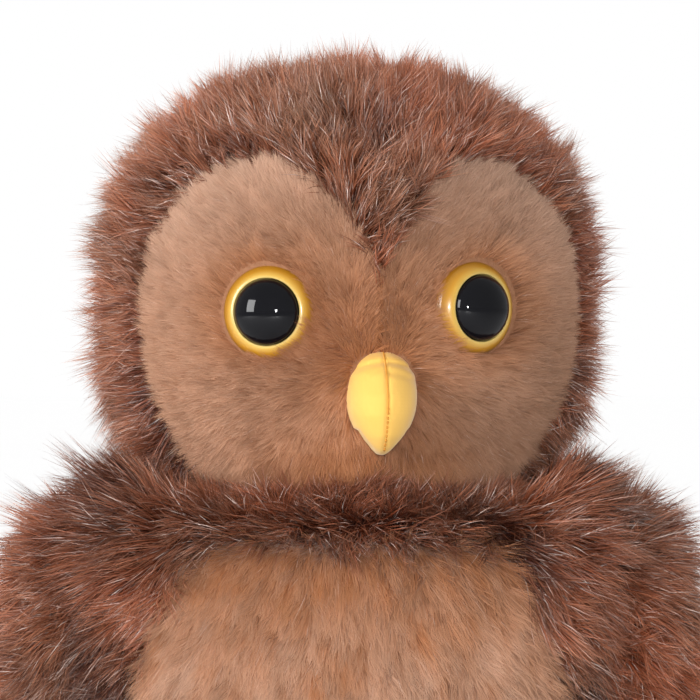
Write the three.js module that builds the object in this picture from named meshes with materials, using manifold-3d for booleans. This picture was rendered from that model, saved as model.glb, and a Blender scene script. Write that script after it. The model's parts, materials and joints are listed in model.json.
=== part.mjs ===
// An interactive plush owl: fur skins over a plastic skull and chassis, with a motor that turns
// the head and a motor that flaps both wings. Millimetres, +Z up, the owl's body faces -Y, and the
// origin is the centre of the base's underside. Left and right are a viewer's who faces the owl.
import * as THREE from 'three';
import { mergeVertices } from 'three/addons/utils/BufferGeometryUtils.js';
import Module from 'manifold-3d';

const wasm = await Module();
wasm.setup();

// ---- Driving dimensions --------------------------------------------------------------------

const GAP = 0.3; // clearance between pieces that fit together
const SPLIT = GAP / 2; // between a moulded half and the middle plane it meets the other half at
const FACETS = 16; // round a turned piece, unless it says otherwise
const FAR = 100; // beyond the owl in any direction from its middle, for cutting tools
const DEG = Math.PI / 180;
const SIDES = { left: -1, right: 1 };

// Head: a face half and a back half, each with its own depth. It is fuller than an ellipsoid, more
// so in the jaw below its widest height than in the crown above.
const HEAD = { z: 196.5, width: 58, front: 50, back: 56, crown: 51, jaw: 54, padding: 7.5, opening: 32,
  yaw: 8.3 * DEG };
const FULLNESS = { crown: 2.3, jaw: 2.6 };
const SKULL = { inset: 8.3, wall: 2.2, opening: 16.5 };
const SKULL_BOSS = { x: 38, z: 202, radius: 3.6, headY: 23 };
const EYE = { radius: 12, pupil: 8.35, sink: 1.9, stem: 2.5, stemLength: 17 };
// Hand-fitted eyes: each has its own distance from the seam, height and turn away from it.
const EYE_AT = {
  [SIDES.left]: { x: 26.8, z: 189.5, toeOut: 23 * DEG },
  [SIDES.right]: { x: 25.1, z: 190.6, toeOut: 29 * DEG },
};
const WASHER = { radius: 7, back: -15.6, front: -14.4 };
const BEAK = { top: 180, tip: 153, halfWidth: 9, y: -46, depthRatio: 1.15 };

// Half of the face, as [distance from the seam, height].
const DISC_OUTLINE = [[0.4, 200], [4.5, 210.5], [12, 221], [20, 228], [28, 229], [36, 226], [47, 217.5],
  [53.5, 206], [54, 188], [50.5, 171], [44, 158], [35, 151.5], [21, 149.5], [7, 149.5], [0.4, 150], [0.4, 175]];

// Body: a round-shouldered bag, as [half width, height]. Depth follows width.
const BODY_DEPTH = 0.82;
const BODY_PADDING = 6;
const BODY_TOP = 136.2;
const BODY_OUTLINE = [[54, 5.3], [60, 11], [68, 25], [71.5, 45], [72.5, 65], [72.5, 90], [71, 110],
  [69.5, 122], [65.5, 131], [58.5, 136.5], [50, 137.2], [34, BODY_TOP]];
const BODY_FACETS = 24;
const PANEL = 2.5;
const HALF_DEPTH = 74;
const COLLAR = { radius: 44, z: 141.4, thick: 5.5, tall: 4.1 };
const FOOT = { x: 27, y: -52, halfWidth: 16.5, halfHeight: 9.5, flat: 0.6 };
const TAIL = { z: 26, radii: [24, 30, 7], tilt: 0.35 };
const BELLY_HALF = [[0, 127], [22, 127.5], [40, 124], [51, 107], [56, 80], [53, 52], [39, 30], [18, 20],
  [0, 18]];

// Wings hang from shafts along Y at the shoulders. A rack turns both of them at once.
const SHOULDER = { x: 46, z: 120, shaft: 2, reach: 33.5, droop: -30 * DEG };
const WING = { thickness: 15, rim: 2, clearance: 2.3 };
const PADDLE = { length: 38, lean: 0.13, half: 1.2, rise: 6, y: [-9, 13] };
const ARM = { half: 2.6, y: [4.5, 9], hub: 4.4, hubY: [-8.4, 12.4] };
const SHAFT_Y = [-13.5, 17.5];
const WING_OUTLINE = [[2, 133], [17, 129.5], [30, 114], [37, 93], [39, 70], [36, 49], [28, 34], [17, 29],
  [5, 37], [-8, 52], [-20, 73], [-27, 94], [-25, 113], [-13, 129.5]];

const MODULE = 1;
const PRESSURE = 25 * DEG;
const TEETH = { neckGear: 40, neckPinion: 10, wing: 14, drive: 10, wingRack: 4, driveRack: 7 };
const ADDENDUM = 0.8 * MODULE;
const DEDENDUM = 1.15 * MODULE;
const BACKLASH = 0.14;

const CHASSIS = { x: 40, y: 26, bottom: 6, top: 130, wall: 2.2, corner: 17, screwY: 20 };
const CHASSIS_SCREWS = [[-30, 28], [30, 28], [-33, 94], [33, 94]];
const EAR = { x: 49.5, low: -8, high: 3.6, y: [[-12, -9], [13, 15.5]] };
const SCREW = { head: 2.6, headHole: 3, hole: 1.5, boss: 3.6 };
const NECK = { radius: 10, bore: 7, flange: 18, flangeTop: 133, top: 169, gearZ: 141, gearHeight: 5,
  motorAngle: 40 * DEG };
const HUB = { radius: 15.8, flange: 18, flangeZ: [163, 165] };
const CLIP = { radius: 14, z: [165.5, 167] };
const BASE = { height: 5, x: 46, y: 38 };
const DOOR = { x: 24.7, front: -17.6, back: 36.5, z: 1.5, height: 1.4 };
const CELL = { radius: 5.25, length: 44.5, pitch: 11.5, z: 12, tip: 1.9 };
const BATTERY_BOX = { x: 26, y: 19, z: [6, 20.5], wall: 1.6 };
const KNOB = { x: 34, y: -5 };
const BUTTON = { z: 70, pad: 15, stem: 8.2, flange: 11, front: -46, back: -18 };
const BOARD = { x: 28, y: [-15, -13.4], z: [36, 86] };
const SPEAKER_Z = 55;
const MICROPHONE_Z = 112;
const MOTOR = { radius: 5.5, bore: 1.3 };
const DRIVE = { x: 10, z: 102, motorY: 5.5 };

// Colour, roughness and metalness of each material.
const FINISH = {
  brownFur: [0x6f3d2c, 0.95, 0],
  beigeFur: [0xa98268, 0.95, 0],
  yellowCloth: [0xf2c445, 0.9, 0],
  amber: [0xd9a321, 0.2, 0],
  black: [0x0a0a0c, 0.1, 0],
  whitePlastic: [0xd8d8d2, 0.5, 0],
  greyPlastic: [0x6c6f72, 0.5, 0],
  gear: [0xe9e6da, 0.4, 0],
  darkPlastic: [0x26272a, 0.5, 0],
  steel: [0xb4b6b8, 0.35, 1],
  board: [0x1d6b3a, 0.5, 0],
  cell: [0x3f6f9c, 0.35, 0.6],
  wire: [0xb02a22, 0.6, 0],
};

// ---- Solids and booleans -------------------------------------------------------------------

function solid(geometry) {
  const bare = geometry.clone();
  bare.deleteAttribute('normal');
  bare.deleteAttribute('uv');
  const merged = mergeVertices(bare, 1e-4);
  return new wasm.Manifold(new wasm.Mesh({
    numProp: 3,
    vertProperties: new Float32Array(merged.attributes.position.array),
    triVerts: new Uint32Array(merged.index.array),
  }));
}

function geometryOf(manifold) {
  const mesh = manifold.getMesh();
  const geometry = new THREE.BufferGeometry();
  geometry.setAttribute('position', new THREE.BufferAttribute(new Float32Array(mesh.vertProperties), 3));
  geometry.setIndex(new THREE.BufferAttribute(new Uint32Array(mesh.triVerts), 1));
  geometry.computeVertexNormals();
  return geometry;
}

const cut = (body, ...tools) => tools.reduce((left, tool) => left.subtract(tool), body);
const join = (body, ...more) => more.reduce((left, next) => left.add(next), body);
const bothSides = (make) => Object.values(SIDES).flatMap(make);

function block(x0, x1, y0, y1, z0, z1) {
  const geometry = new THREE.BoxGeometry(x1 - x0, y1 - y0, z1 - z0);
  geometry.translate((x0 + x1) / 2, (y0 + y1) / 2, (z0 + z1) / 2);
  return solid(geometry);
}

// A block between two distances from the middle, on one side.
function sideBlock(side, near, far, y0, y1, z0, z1) {
  const [x0, x1] = [side * near, side * far].sort((a, b) => a - b);
  return block(x0, x1, y0, y1, z0, z1);
}

// A round bar between two points.
function rod(radius, from, to, facets = 12) {
  const start = new THREE.Vector3(...from);
  const along = new THREE.Vector3(...to).sub(start);
  const up = new THREE.Vector3(0, 1, 0);
  const geometry = new THREE.CylinderGeometry(radius, radius, along.length(), facets);
  geometry.translate(0, along.length() / 2, 0);
  geometry.applyQuaternion(new THREE.Quaternion().setFromUnitVectors(up, along.clone().normalize()));
  geometry.translate(...from);
  return solid(geometry);
}

const rodY = (radius, x, z, y0, y1, facets) => rod(radius, [x, y0, z], [x, y1, z], facets);

// A turned piece about +Z from [radius, z] points. A profile that doesn't reach the axis is closed.
function turned(points, facets = FACETS) {
  const closed = points[0][0] > 0;
  const outline = (closed ? [...points, points[0]] : points).map(([r, z]) => new THREE.Vector2(r, z));
  const geometry = new THREE.LatheGeometry(outline, facets);
  geometry.rotateX(Math.PI / 2);
  return solid(geometry);
}

// A turned piece about an axis along Y, from [radius, y] points.
function turnedAlongY(points, z, facets = 24) {
  const geometry = geometryOf(turned(points, facets));
  geometry.rotateX(-Math.PI / 2);
  geometry.translate(0, 0, z);
  return solid(geometry);
}

// A flat plate in X and Z, extruded from y0 to y1.
function plateXZ(points, y0, y1) {
  const shape = new THREE.Shape(points.map(([x, z]) => new THREE.Vector2(x, z)));
  const geometry = new THREE.ExtrudeGeometry(shape, { depth: y1 - y0, bevelEnabled: false });
  geometry.rotateX(Math.PI / 2);
  geometry.translate(0, y1, 0);
  return solid(geometry);
}

function roundedPrism(halfX, halfY, corner, z0, z1) {
  const shape = new THREE.Shape();
  shape.moveTo(-halfX + corner, -halfY);
  shape.lineTo(halfX - corner, -halfY);
  shape.absarc(halfX - corner, -halfY + corner, corner, -Math.PI / 2, 0);
  shape.absarc(halfX - corner, halfY - corner, corner, 0, Math.PI / 2);
  shape.absarc(-halfX + corner, halfY - corner, corner, Math.PI / 2, Math.PI);
  shape.absarc(-halfX + corner, -halfY + corner, corner, Math.PI, 1.5 * Math.PI);
  const geometry = new THREE.ExtrudeGeometry(shape, { depth: z1 - z0, bevelEnabled: false, curveSegments: 3 });
  geometry.translate(0, 0, z0);
  return solid(geometry);
}

function ellipsoid(centre, radii, facets = 12) {
  const geometry = new THREE.SphereGeometry(1, facets, facets / 2);
  geometry.rotateX(Math.PI / 2);
  geometry.scale(...radii);
  geometry.translate(...centre);
  return solid(geometry);
}

// A round bar of few sides swept along a curve through points.
function sweep(points, radius, steps, facets) {
  const section = new THREE.Shape();
  for (let i = 0; i < facets; i += 1) {
    const angle = (i / facets) * 2 * Math.PI;
    section[i === 0 ? 'moveTo' : 'lineTo'](radius * Math.cos(angle), radius * Math.sin(angle));
  }
  const path = new THREE.CatmullRomCurve3(points);
  return solid(new THREE.ExtrudeGeometry(section, { steps, bevelEnabled: false, extrudePath: path }));
}

// A coil spring along Z.
function coil(radius, wire, turns, height) {
  const steps = turns * 10;
  const points = [];
  for (let i = 0; i <= steps; i += 1) {
    const angle = (i / steps) * turns * 2 * Math.PI;
    points.push(new THREE.Vector3(radius * Math.cos(angle), radius * Math.sin(angle), (height * i) / steps));
  }
  return sweep(points, wire, steps, 4);
}

// ---- Gears ---------------------------------------------------------------------------------

const involute = (angle) => Math.tan(angle) - angle;

// Involute outline; the middle of a tooth points along the given angle.
function gearOutline(teeth, toothAngle) {
  const pitch = (teeth * MODULE) / 2;
  const base = pitch * Math.cos(PRESSURE);
  const halfAtPitch = Math.PI / (2 * teeth) - BACKLASH / (2 * pitch);
  const halfAt = (r) => halfAtPitch + involute(PRESSURE) - involute(Math.acos(Math.min(1, base / r)));
  const root = pitch - DEDENDUM;
  const flank = [Math.max(base, root + 0.1), pitch + ADDENDUM];
  const outline = [];
  for (let i = 0; i < teeth; i += 1) {
    const middle = toothAngle + (i * 2 * Math.PI) / teeth;
    const put = (r, a) => outline.push([r * Math.cos(middle + a), r * Math.sin(middle + a)]);
    put(root, -halfAt(flank[0]));
    flank.forEach((r) => put(r, -halfAt(r)));
    [...flank].reverse().forEach((r) => put(r, halfAt(r)));
    put(root, halfAt(flank[0]));
  }
  return outline;
}

function gearZ(teeth, toothAngle, z0, z1) {
  const shape = new THREE.Shape(gearOutline(teeth, toothAngle).map(([x, y]) => new THREE.Vector2(x, y)));
  const geometry = new THREE.ExtrudeGeometry(shape, { depth: z1 - z0, bevelEnabled: false });
  geometry.translate(0, 0, z0);
  return solid(geometry);
}

const gearY = (teeth, toothAngle, x, z, y0, y1) =>
  plateXZ(gearOutline(teeth, toothAngle).map(([u, w]) => [x + u, z + w]), y0, y1);

// Straight rack teeth up a vertical edge that face +X, as outline points.
function rackEdge(pitchX, midZ, teeth) {
  const step = Math.PI * MODULE;
  const half = step / 4 - BACKLASH / 2;
  const tip = half - ADDENDUM * Math.tan(PRESSURE);
  const root = half + DEDENDUM * Math.tan(PRESSURE);
  const tipX = pitchX + ADDENDUM;
  const rootX = pitchX - DEDENDUM;
  const points = [];
  for (let i = 0; i < teeth; i += 1) {
    const z = midZ + (i - (teeth - 1) / 2) * step;
    points.push([rootX, z - root], [tipX, z - tip], [tipX, z + tip], [rootX, z + root]);
  }
  return points;
}

// ---- Curved surfaces of head and body ------------------------------------------------------

// The head's size at a height, as a share of its widest; height is a share too, from -1 to 1.
function headShare(height) {
  const fullness = height < 0 ? FULLNESS.jaw : FULLNESS.crown;
  return (1 - Math.abs(height) ** fullness) ** (1 / fullness);
}

// The head's own form, shrunk by an inset.
function headForm(inset, facets = 20) {
  const geometry = new THREE.SphereGeometry(1, facets, 12);
  geometry.rotateX(Math.PI / 2);
  const position = geometry.attributes.position;
  for (let i = 0; i < position.count; i += 1) {
    const [x, y, z] = [position.getX(i), position.getY(i), position.getZ(i)];
    const spread = headShare(Math.max(-1, Math.min(1, z))) / Math.max(1e-6, Math.hypot(x, y));
    const depth = y < 0 ? HEAD.front : HEAD.back;
    const height = z < 0 ? HEAD.jaw : HEAD.crown;
    position.setXYZ(i, x * spread * (HEAD.width - inset), y * spread * (depth - inset),
      HEAD.z + z * (height - inset));
  }
  return solid(geometry);
}

function headFrontY(x, z) {
  const height = (z - HEAD.z) / (z < HEAD.z ? HEAD.jaw : HEAD.crown);
  return -HEAD.front * Math.sqrt(Math.max(0.02, headShare(height) ** 2 - (x / HEAD.width) ** 2));
}

function bodyHalfWidth(z) {
  const last = BODY_OUTLINE.length - 1;
  const at = BODY_OUTLINE.findIndex(([, height]) => height >= z);
  if (at <= 0) {
    return at === 0 ? BODY_OUTLINE[0][0] : BODY_OUTLINE[last][0];
  }
  const [w0, z0] = BODY_OUTLINE[at - 1];
  const [w1, z1] = BODY_OUTLINE[at];
  return w0 + ((w1 - w0) * (z - z0)) / (z1 - z0);
}

const LEAST_SQUARE = 25; // keeps the square roots below real beyond the body's own outline
const bodyFrontY = (x, z) => -BODY_DEPTH * Math.sqrt(Math.max(LEAST_SQUARE, bodyHalfWidth(z) ** 2 - x ** 2));
const bodySideX = (y, z) => Math.sqrt(Math.max(LEAST_SQUARE, bodyHalfWidth(z) ** 2 - (y / BODY_DEPTH) ** 2));

// A smooth closed outline through the points, drawn out from its centre by grow.
function smoothOutline(points, count, grow) {
  const curve = new THREE.SplineCurve([...points, points[0]].map(([u, v]) => new THREE.Vector2(u, v)));
  const ring = curve.getSpacedPoints(count).slice(0, count);
  const centre = ring.reduce((sum, p) => sum.add(p), new THREE.Vector2()).divideScalar(count);
  return { centre, ring: ring.map((p) => p.clone().sub(centre).setLength(p.distanceTo(centre) + grow)) };
}

// The solid of a closed geometry, whichever way its faces were wound.
function outward(geometry) {
  const made = solid(geometry);
  if (made.volume() > 0) {
    return made;
  }
  const index = geometry.index.array;
  for (let i = 0; i < index.length; i += 3) {
    [index[i], index[i + 1]] = [index[i + 1], index[i]];
  }
  return solid(geometry);
}

// A closed sheet between two surfaces, given as functions of the outline's (u, v) and of the
// distance from the middle (0) to the edge (1).
function sheet(points, near, far, grow = 0, count = 22, rings = 2) {
  const { centre, ring } = smoothOutline(points, count, grow);
  const positions = [];
  const add = (place) => positions.push(...place) / 3 - 1;
  const layers = [near, far].map((place) => {
    const middle = add(place(centre.x, centre.y, 0));
    const rows = [];
    for (let r = 1; r <= rings; r += 1) {
      const reach = r / rings;
      rows.push(ring.map((p) => add(place(centre.x + p.x * reach, centre.y + p.y * reach, reach))));
    }
    return { middle, rows };
  });
  const faces = [];
  for (let i = 0; i < count; i += 1) {
    const j = (i + 1) % count;
    layers.forEach(({ middle, rows }, side) => {
      const face = (a, b, c) => faces.push(...(side === 0 ? [a, b, c] : [a, c, b]));
      face(middle, rows[0][i], rows[0][j]);
      for (let r = 1; r < rings; r += 1) {
        face(rows[r - 1][i], rows[r][i], rows[r][j]);
        face(rows[r - 1][i], rows[r][j], rows[r - 1][j]);
      }
    });
    const [a, b] = [layers[0].rows[rings - 1][i], layers[0].rows[rings - 1][j]];
    const [d, c] = [layers[1].rows[rings - 1][i], layers[1].rows[rings - 1][j]];
    faces.push(a, d, c, a, c, b);
  }
  const geometry = new THREE.BufferGeometry();
  geometry.setAttribute('position', new THREE.BufferAttribute(new Float32Array(positions), 3));
  geometry.setIndex(faces);
  return outward(geometry);
}

// ---- Head ----------------------------------------------------------------------------------

function faceDisc(side, grow, front, back) {
  const outline = DISC_OUTLINE.map(([x, z]) => [side * (x + GAP), z]);
  const surface = (offset) => (x, z) => [x, headFrontY(x, z) + offset, z];
  return sheet(outline, surface(front), surface(back), grow);
}

// Moves a piece built about +Z at the origin onto an eye's axis, pointing out of the face.
function atEye(side, piece) {
  const { x, z, toeOut } = EYE_AT[side];
  const geometry = geometryOf(piece);
  geometry.rotateX(Math.PI / 2);
  geometry.rotateZ(side * toeOut);
  geometry.translate(side * x, headFrontY(x, z), z);
  return solid(geometry);
}

function eyeSocket(side) {
  const [bowl, hole] = [EYE.radius + 0.5, EYE.stem + 0.4];
  return atEye(side, join(turned([[0, -EYE.sink], [bowl, -EYE.sink], [bowl, 12], [0, 12]]),
    turned([[0, -22], [hole, -22], [hole, 0], [0, 0]])));
}

function eye(side) {
  const r = EYE.radius;
  const recess = EYE.pupil + GAP;
  return atEye(side, turned([[0, -EYE.stemLength], [EYE.stem, -EYE.stemLength], [EYE.stem, -1.5],
    [r - 0.4, -1.5], [r, -0.8], [r, 0.2], [r - 1, 1.9], [recess, 3], [recess, 1], [0, 1]]));
}

const pupil = (side) => atEye(side, turned([[0, 1.3], [EYE.pupil, 1.3], [EYE.pupil, 3.1],
  [EYE.pupil - 1.8, 4.6], [EYE.pupil - 4.8, 5.6], [0, 6]]));

function eyeWasher(side) {
  const bore = EYE.stem + GAP;
  return atEye(side, turned([[bore, WASHER.back], [WASHER.radius, WASHER.back], [WASHER.radius, WASHER.front],
    [bore, WASHER.front]], 20));
}

const neckOpening = (radius) => rod(radius, [0, 0, CHASSIS.top], [0, 0, HEAD.z - 20], 20);

function headSkin() {
  const recesses = bothSides((side) => [eyeSocket(side), faceDisc(side, GAP, -8, PANEL + GAP)]);
  return cut(headForm(0), headForm(HEAD.padding), neckOpening(HEAD.opening), ...recesses);
}

// Each panel stops at the seam down the middle of the face.
const discPanel = (side) => cut(faceDisc(side, 0, 0, PANEL), eyeSocket(side),
  sideBlock(-side, -0.2, FAR, -FAR, FAR, 0, 3 * FAR));

// A stuffed beak with an oval section: [share of half width, share of height] up from its tip.
function beak() {
  const outline = [[0, 0], [0.28, 0.04], [0.66, 0.18], [0.93, 0.4], [1, 0.62], [0.89, 0.82], [0.55, 0.96],
    [0, 1]];
  const height = BEAK.top - BEAK.tip;
  const sides = outline.map(([r, h]) => [r * BEAK.halfWidth, BEAK.tip + h * height]);
  const geometry = geometryOf(turned(sides, 20));
  geometry.scale(1, BEAK.depthRatio, 1);
  geometry.translate(0, BEAK.y, 0);
  return cut(solid(geometry), headForm(-GAP), ...bothSides((side) => faceDisc(side, 3, -GAP, 12)));
}

function skullHalf(behind) {
  const { x, z, radius, headY } = SKULL_BOSS;
  const away = behind ? block(-FAR, FAR, -FAR, SPLIT, FAR, 3 * FAR)
    : block(-FAR, FAR, -SPLIT, FAR, FAR, 3 * FAR);
  const room = headForm(SKULL.inset + 1);
  const bosses = bothSides((side) => rodY(radius, side * x, z, -FAR, FAR).intersect(room));
  const shell = join(cut(headForm(SKULL.inset), headForm(SKULL.inset + SKULL.wall)), ...bosses);
  const holes = bothSides((side) => [
    rodY(SCREW.hole, side * x, z, -12, FAR, 10),
    rodY(SCREW.headHole, side * x, z, headY - GAP, FAR),
    eyeSocket(side)]);
  return cut(shell, away, neckOpening(SKULL.opening), ...holes);
}

// A screw along Y: the underside of its head at y, its point towards -Y.
function screwY(x, y, z, length) {
  const geometry = geometryOf(turned([[0, -length], [0.5, -length], [1.2, 1.2 - length], [1.2, 0],
    [SCREW.head, 0], [SCREW.head, 1], [0, 1.9]], 8));
  geometry.rotateX(-Math.PI / 2);
  geometry.translate(x, y, z);
  return solid(geometry);
}

// ---- Neck ----------------------------------------------------------------------------------

const NECK_CENTRES = ((TEETH.neckGear + TEETH.neckPinion) * MODULE) / 2;
const NECK_MOTOR = [NECK_CENTRES * Math.cos(NECK.motorAngle), NECK_CENTRES * Math.sin(NECK.motorAngle)];

// The head's gear with a hub that carries the skull.
function headGear() {
  const top = NECK.gearZ + NECK.gearHeight;
  const bore = NECK.radius + 0.35;
  const web = HUB.radius - 0.8;
  const [flangeLow, flangeHigh] = HUB.flangeZ;
  const hub = turned([[bore, NECK.gearZ], [web, NECK.gearZ], [web, top], [HUB.radius, top],
    [HUB.radius, flangeLow], [HUB.flange, flangeLow], [HUB.flange, flangeHigh], [bore, flangeHigh]], 24);
  const middle = rod(web - 0.5, [0, 0, NECK.gearZ - 5], [0, 0, top + 5], 24);
  return join(hub, cut(gearZ(TEETH.neckGear, NECK.motorAngle, NECK.gearZ, top), middle));
}

function neckTube() {
  const low = CHASSIS.top + GAP;
  return turned([[NECK.bore, low], [NECK.flange, low], [NECK.flange, NECK.flangeTop],
    [NECK.radius, NECK.flangeTop], [NECK.radius, NECK.top], [NECK.bore, NECK.top]], 24);
}

const neckClip = () => turned([[NECK.radius + GAP, CLIP.z[0]], [CLIP.radius, CLIP.z[0]],
  [CLIP.radius, CLIP.z[1]], [NECK.radius + GAP, CLIP.z[1]]]);

function neckPinion() {
  const toothAngle = NECK.motorAngle + Math.PI + Math.PI / TEETH.neckPinion;
  const low = NECK.gearZ - GAP;
  const teeth = gearZ(TEETH.neckPinion, toothAngle, low, low + NECK.gearHeight + 1);
  const geometry = geometryOf(join(teeth, rod(1, [0, 0, CHASSIS.top - 5], [0, 0, low + 1], 10)));
  geometry.translate(NECK_MOTOR[0], NECK_MOTOR[1], 0);
  return solid(geometry);
}

// A motor can with a blind bearing hole in its front, built about +Z with the front at z 0.
const motorCan = (length) => turned([[0, -length], [MOTOR.radius, -length], [MOTOR.radius, -1],
  [MOTOR.radius - 1, 0], [MOTOR.bore, 0], [MOTOR.bore, -3], [0, -3]], 20);

function neckMotor() {
  const geometry = geometryOf(motorCan(19));
  geometry.translate(NECK_MOTOR[0], NECK_MOTOR[1], CHASSIS.top - 3);
  return solid(geometry);
}

function collar() {
  const points = [];
  for (let i = 0; i < 8; i += 1) {
    const angle = (i / 8) * 2 * Math.PI;
    points.push([COLLAR.radius + COLLAR.thick * Math.cos(angle), COLLAR.z + COLLAR.tall * Math.sin(angle)]);
  }
  return turned(points, 20);
}

// ---- Body ----------------------------------------------------------------------------------

const BELLY_OUTLINE = [...BELLY_HALF, ...BELLY_HALF.slice(1, -1).reverse().map(([x, z]) => [-x, z])];

function bellySheet(grow, front, back) {
  const surface = (offset) => (x, z) => [x, bodyFrontY(x, z) + offset, z];
  return sheet(BELLY_OUTLINE, surface(front), surface(back), grow, 20, 3);
}

// [half width, height] points turned about Z and pressed to the body's depth.
function bodyTurned(points) {
  const geometry = geometryOf(turned(points, BODY_FACETS));
  geometry.scale(1, BODY_DEPTH, 1);
  return solid(geometry);
}

// The whole body as one plain solid, grown outwards.
function bodySolid(grow) {
  const sides = BODY_OUTLINE.map(([r, z]) => [r + grow, z]);
  return bodyTurned([[0, BODY_OUTLINE[0][1]], ...sides, [0, BODY_TOP]]);
}

function bodySkin() {
  const ceiling = CHASSIS.top + 0.5;
  const inside = BODY_OUTLINE.slice(0, -2).filter((_, i) => i % 2 === 1).reverse()
    .map(([r, z]) => [r - BODY_PADDING, Math.min(z + 0.5, ceiling)]);
  const neckEdge = BODY_OUTLINE[BODY_OUTLINE.length - 1][0];
  const hem = BODY_OUTLINE[0][0] - 5;
  const bag = bodyTurned([...BODY_OUTLINE, [neckEdge, ceiling + 0.5], ...inside, [hem, 8],
    [hem, BODY_OUTLINE[0][1]]]);
  const slots = bothSides((side) => sideBlock(side, 48, FAR, -4, 12, SHOULDER.z - 20, SHOULDER.z + 8.5));
  return cut(bag, bellySheet(GAP, -6, PANEL + GAP), ...slots);
}

function foot(side) {
  const pad = ellipsoid([side * FOOT.x, FOOT.y, FOOT.halfHeight],
    [FOOT.halfWidth, HALF_DEPTH + FOOT.y, FOOT.halfHeight]);
  const floor = block(-FAR, FAR, -FAR, FAR, -5, FOOT.flat);
  const base = block(-60, 60, -BASE.y - 4, BASE.y + 4, -1, BASE.height + 1);
  return cut(pad, bodySolid(0.6), floor, base);
}

function tail() {
  const geometry = geometryOf(ellipsoid([0, 0, 0], TAIL.radii));
  geometry.rotateX(TAIL.tilt);
  geometry.computeBoundingBox();
  geometry.translate(0, HALF_DEPTH - geometry.boundingBox.max.y, TAIL.z);
  return cut(solid(geometry), bodySolid(0.6));
}

// ---- Chassis -------------------------------------------------------------------------------

function chassisShell() {
  const { x, y, bottom, top, wall, corner } = CHASSIS;
  const outer = roundedPrism(x, y, corner, bottom, top);
  const inner = roundedPrism(x - wall, y - wall, corner - wall, bottom - 1, top - wall);
  return cut(outer, inner);
}

// Slots for the wings' arms, with the bores of their shafts.
const shoulderWindows = () => bothSides((side) => [
  sideBlock(side, 30, CHASSIS.x + 1, -7, 11.5, SHOULDER.z - 14, CHASSIS.top - CHASSIS.wall - GAP),
  rodY(SHOULDER.shaft + 0.25, side * SHOULDER.x, SHOULDER.z, -30, 30)]);

// A ring of holes round a middle one, in front of the speaker's cone.
function speakerGrille() {
  const holes = [[0, 0]];
  for (let i = 0; i < 6; i += 1) {
    holes.push([7 * Math.cos(i * 60 * DEG), 7 * Math.sin(i * 60 * DEG)]);
  }
  return holes.map(([x, z]) => rodY(1.8, x, SPEAKER_Z + z, CHASSIS.screwY, 40, 8));
}

function chassisHalf(behind) {
  const { x, y, bottom, top, corner, screwY: screwFace } = CHASSIS;
  const room = roundedPrism(x - 1, y - 1, corner - 1, bottom, top - 1);
  const bosses = CHASSIS_SCREWS.map(([bx, bz]) => rodY(SCREW.boss, bx, bz, -60, 60).intersect(room));
  const ears = bothSides((side) => EAR.y.map(([y0, y1]) =>
    sideBlock(side, x - 1, EAR.x, y0, y1, SHOULDER.z + EAR.low, SHOULDER.z + EAR.high)));
  const screwHoles = CHASSIS_SCREWS.flatMap(([bx, bz]) => [rodY(SCREW.hole, bx, bz, -12, 40, 10),
    rodY(SCREW.headHole, bx, bz, screwFace - GAP, 40)]);
  const topHoles = [rod(NECK.bore, [0, 0, top - 10], [0, 0, top + 5], 20),
    rod(2.5, [...NECK_MOTOR, top - 2.9], [...NECK_MOTOR, top + 5])];
  const buttonHole = rodY(BUTTON.stem + 0.4, 0, BUTTON.z, -40, -20, 24);
  const away = behind ? block(-FAR, FAR, -FAR, SPLIT, 0, 2 * FAR)
    : block(-FAR, FAR, -SPLIT, FAR, 0, 2 * FAR);
  const holes = [...shoulderWindows(), ...speakerGrille(), ...screwHoles, ...topHoles, buttonHole];
  return cut(join(chassisShell(), ...bosses, ...ears), ...holes, away);
}

// ---- Base and batteries --------------------------------------------------------------------

function basePlate() {
  const geometry = geometryOf(turned([[0, 0], [0.96, 0], [1, 1], [1, BASE.height], [0, BASE.height]], 40));
  geometry.scale(BASE.x, BASE.y, 1);
  const opening = block(-22, 22, DOOR.front - GAP, 60, -1, 1.3);
  const track = block(-DOOR.x - GAP, DOOR.x + GAP, DOOR.front - GAP, 60, 1.2, 3.2);
  const cellOpening = block(-23, 23, -16.5, 16.5, 3, BASE.height + 1);
  const knobSlot = block(KNOB.x - 3.5, KNOB.x + 3.5, -5.5, 5.5, -1, BASE.height + 1);
  const lip = block(-22.5, 22.5, DOOR.back + 0.4, 60, -2, 4);
  return cut(solid(geometry), opening, track, cellOpening, knobSlot, lip);
}

function batteryDoor() {
  const plate = block(-DOOR.x, DOOR.x, DOOR.front, DOOR.back - 8, DOOR.z, DOOR.z + DOOR.height);
  const tongue = block(-21.5, 21.5, DOOR.front, DOOR.back - 2, 0.4, DOOR.z + 0.2);
  const grips = [20, 23, 26].map((y) => block(-8, 8, y, y + 1.2, 0.1, 0.8));
  return cut(join(plate, tongue), ...grips);
}

function batteryBox() {
  const { x, y, z: [low, high], wall } = BATTERY_BOX;
  const room = block(wall - x, x - wall, wall - y, y - wall, low - 1, high - wall);
  return cut(block(-x, x, -y, y, low, high), room);
}

// Neighbouring cells point opposite ways.
function cell(index) {
  const half = CELL.length / 2;
  const geometry = geometryOf(turned([[0, -half], [CELL.radius, -half], [CELL.radius, half - 1],
    [CELL.tip, half - 0.9], [CELL.tip, half], [0, half]]));
  geometry.rotateY(index % 2 === 0 ? Math.PI / 2 : -Math.PI / 2);
  geometry.translate(0, (index - 1) * CELL.pitch, CELL.z);
  return solid(geometry);
}

const powerKnob = () => join(block(KNOB.x - 3, KNOB.x + 3, KNOB.y, KNOB.y + 4.5, 0.8, 4.6),
  block(KNOB.x - 1.5, KNOB.x + 1.5, KNOB.y + 1, KNOB.y + 3.5, 0.5, 1));

// ---- Belly button, speaker and electronics -------------------------------------------------

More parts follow.
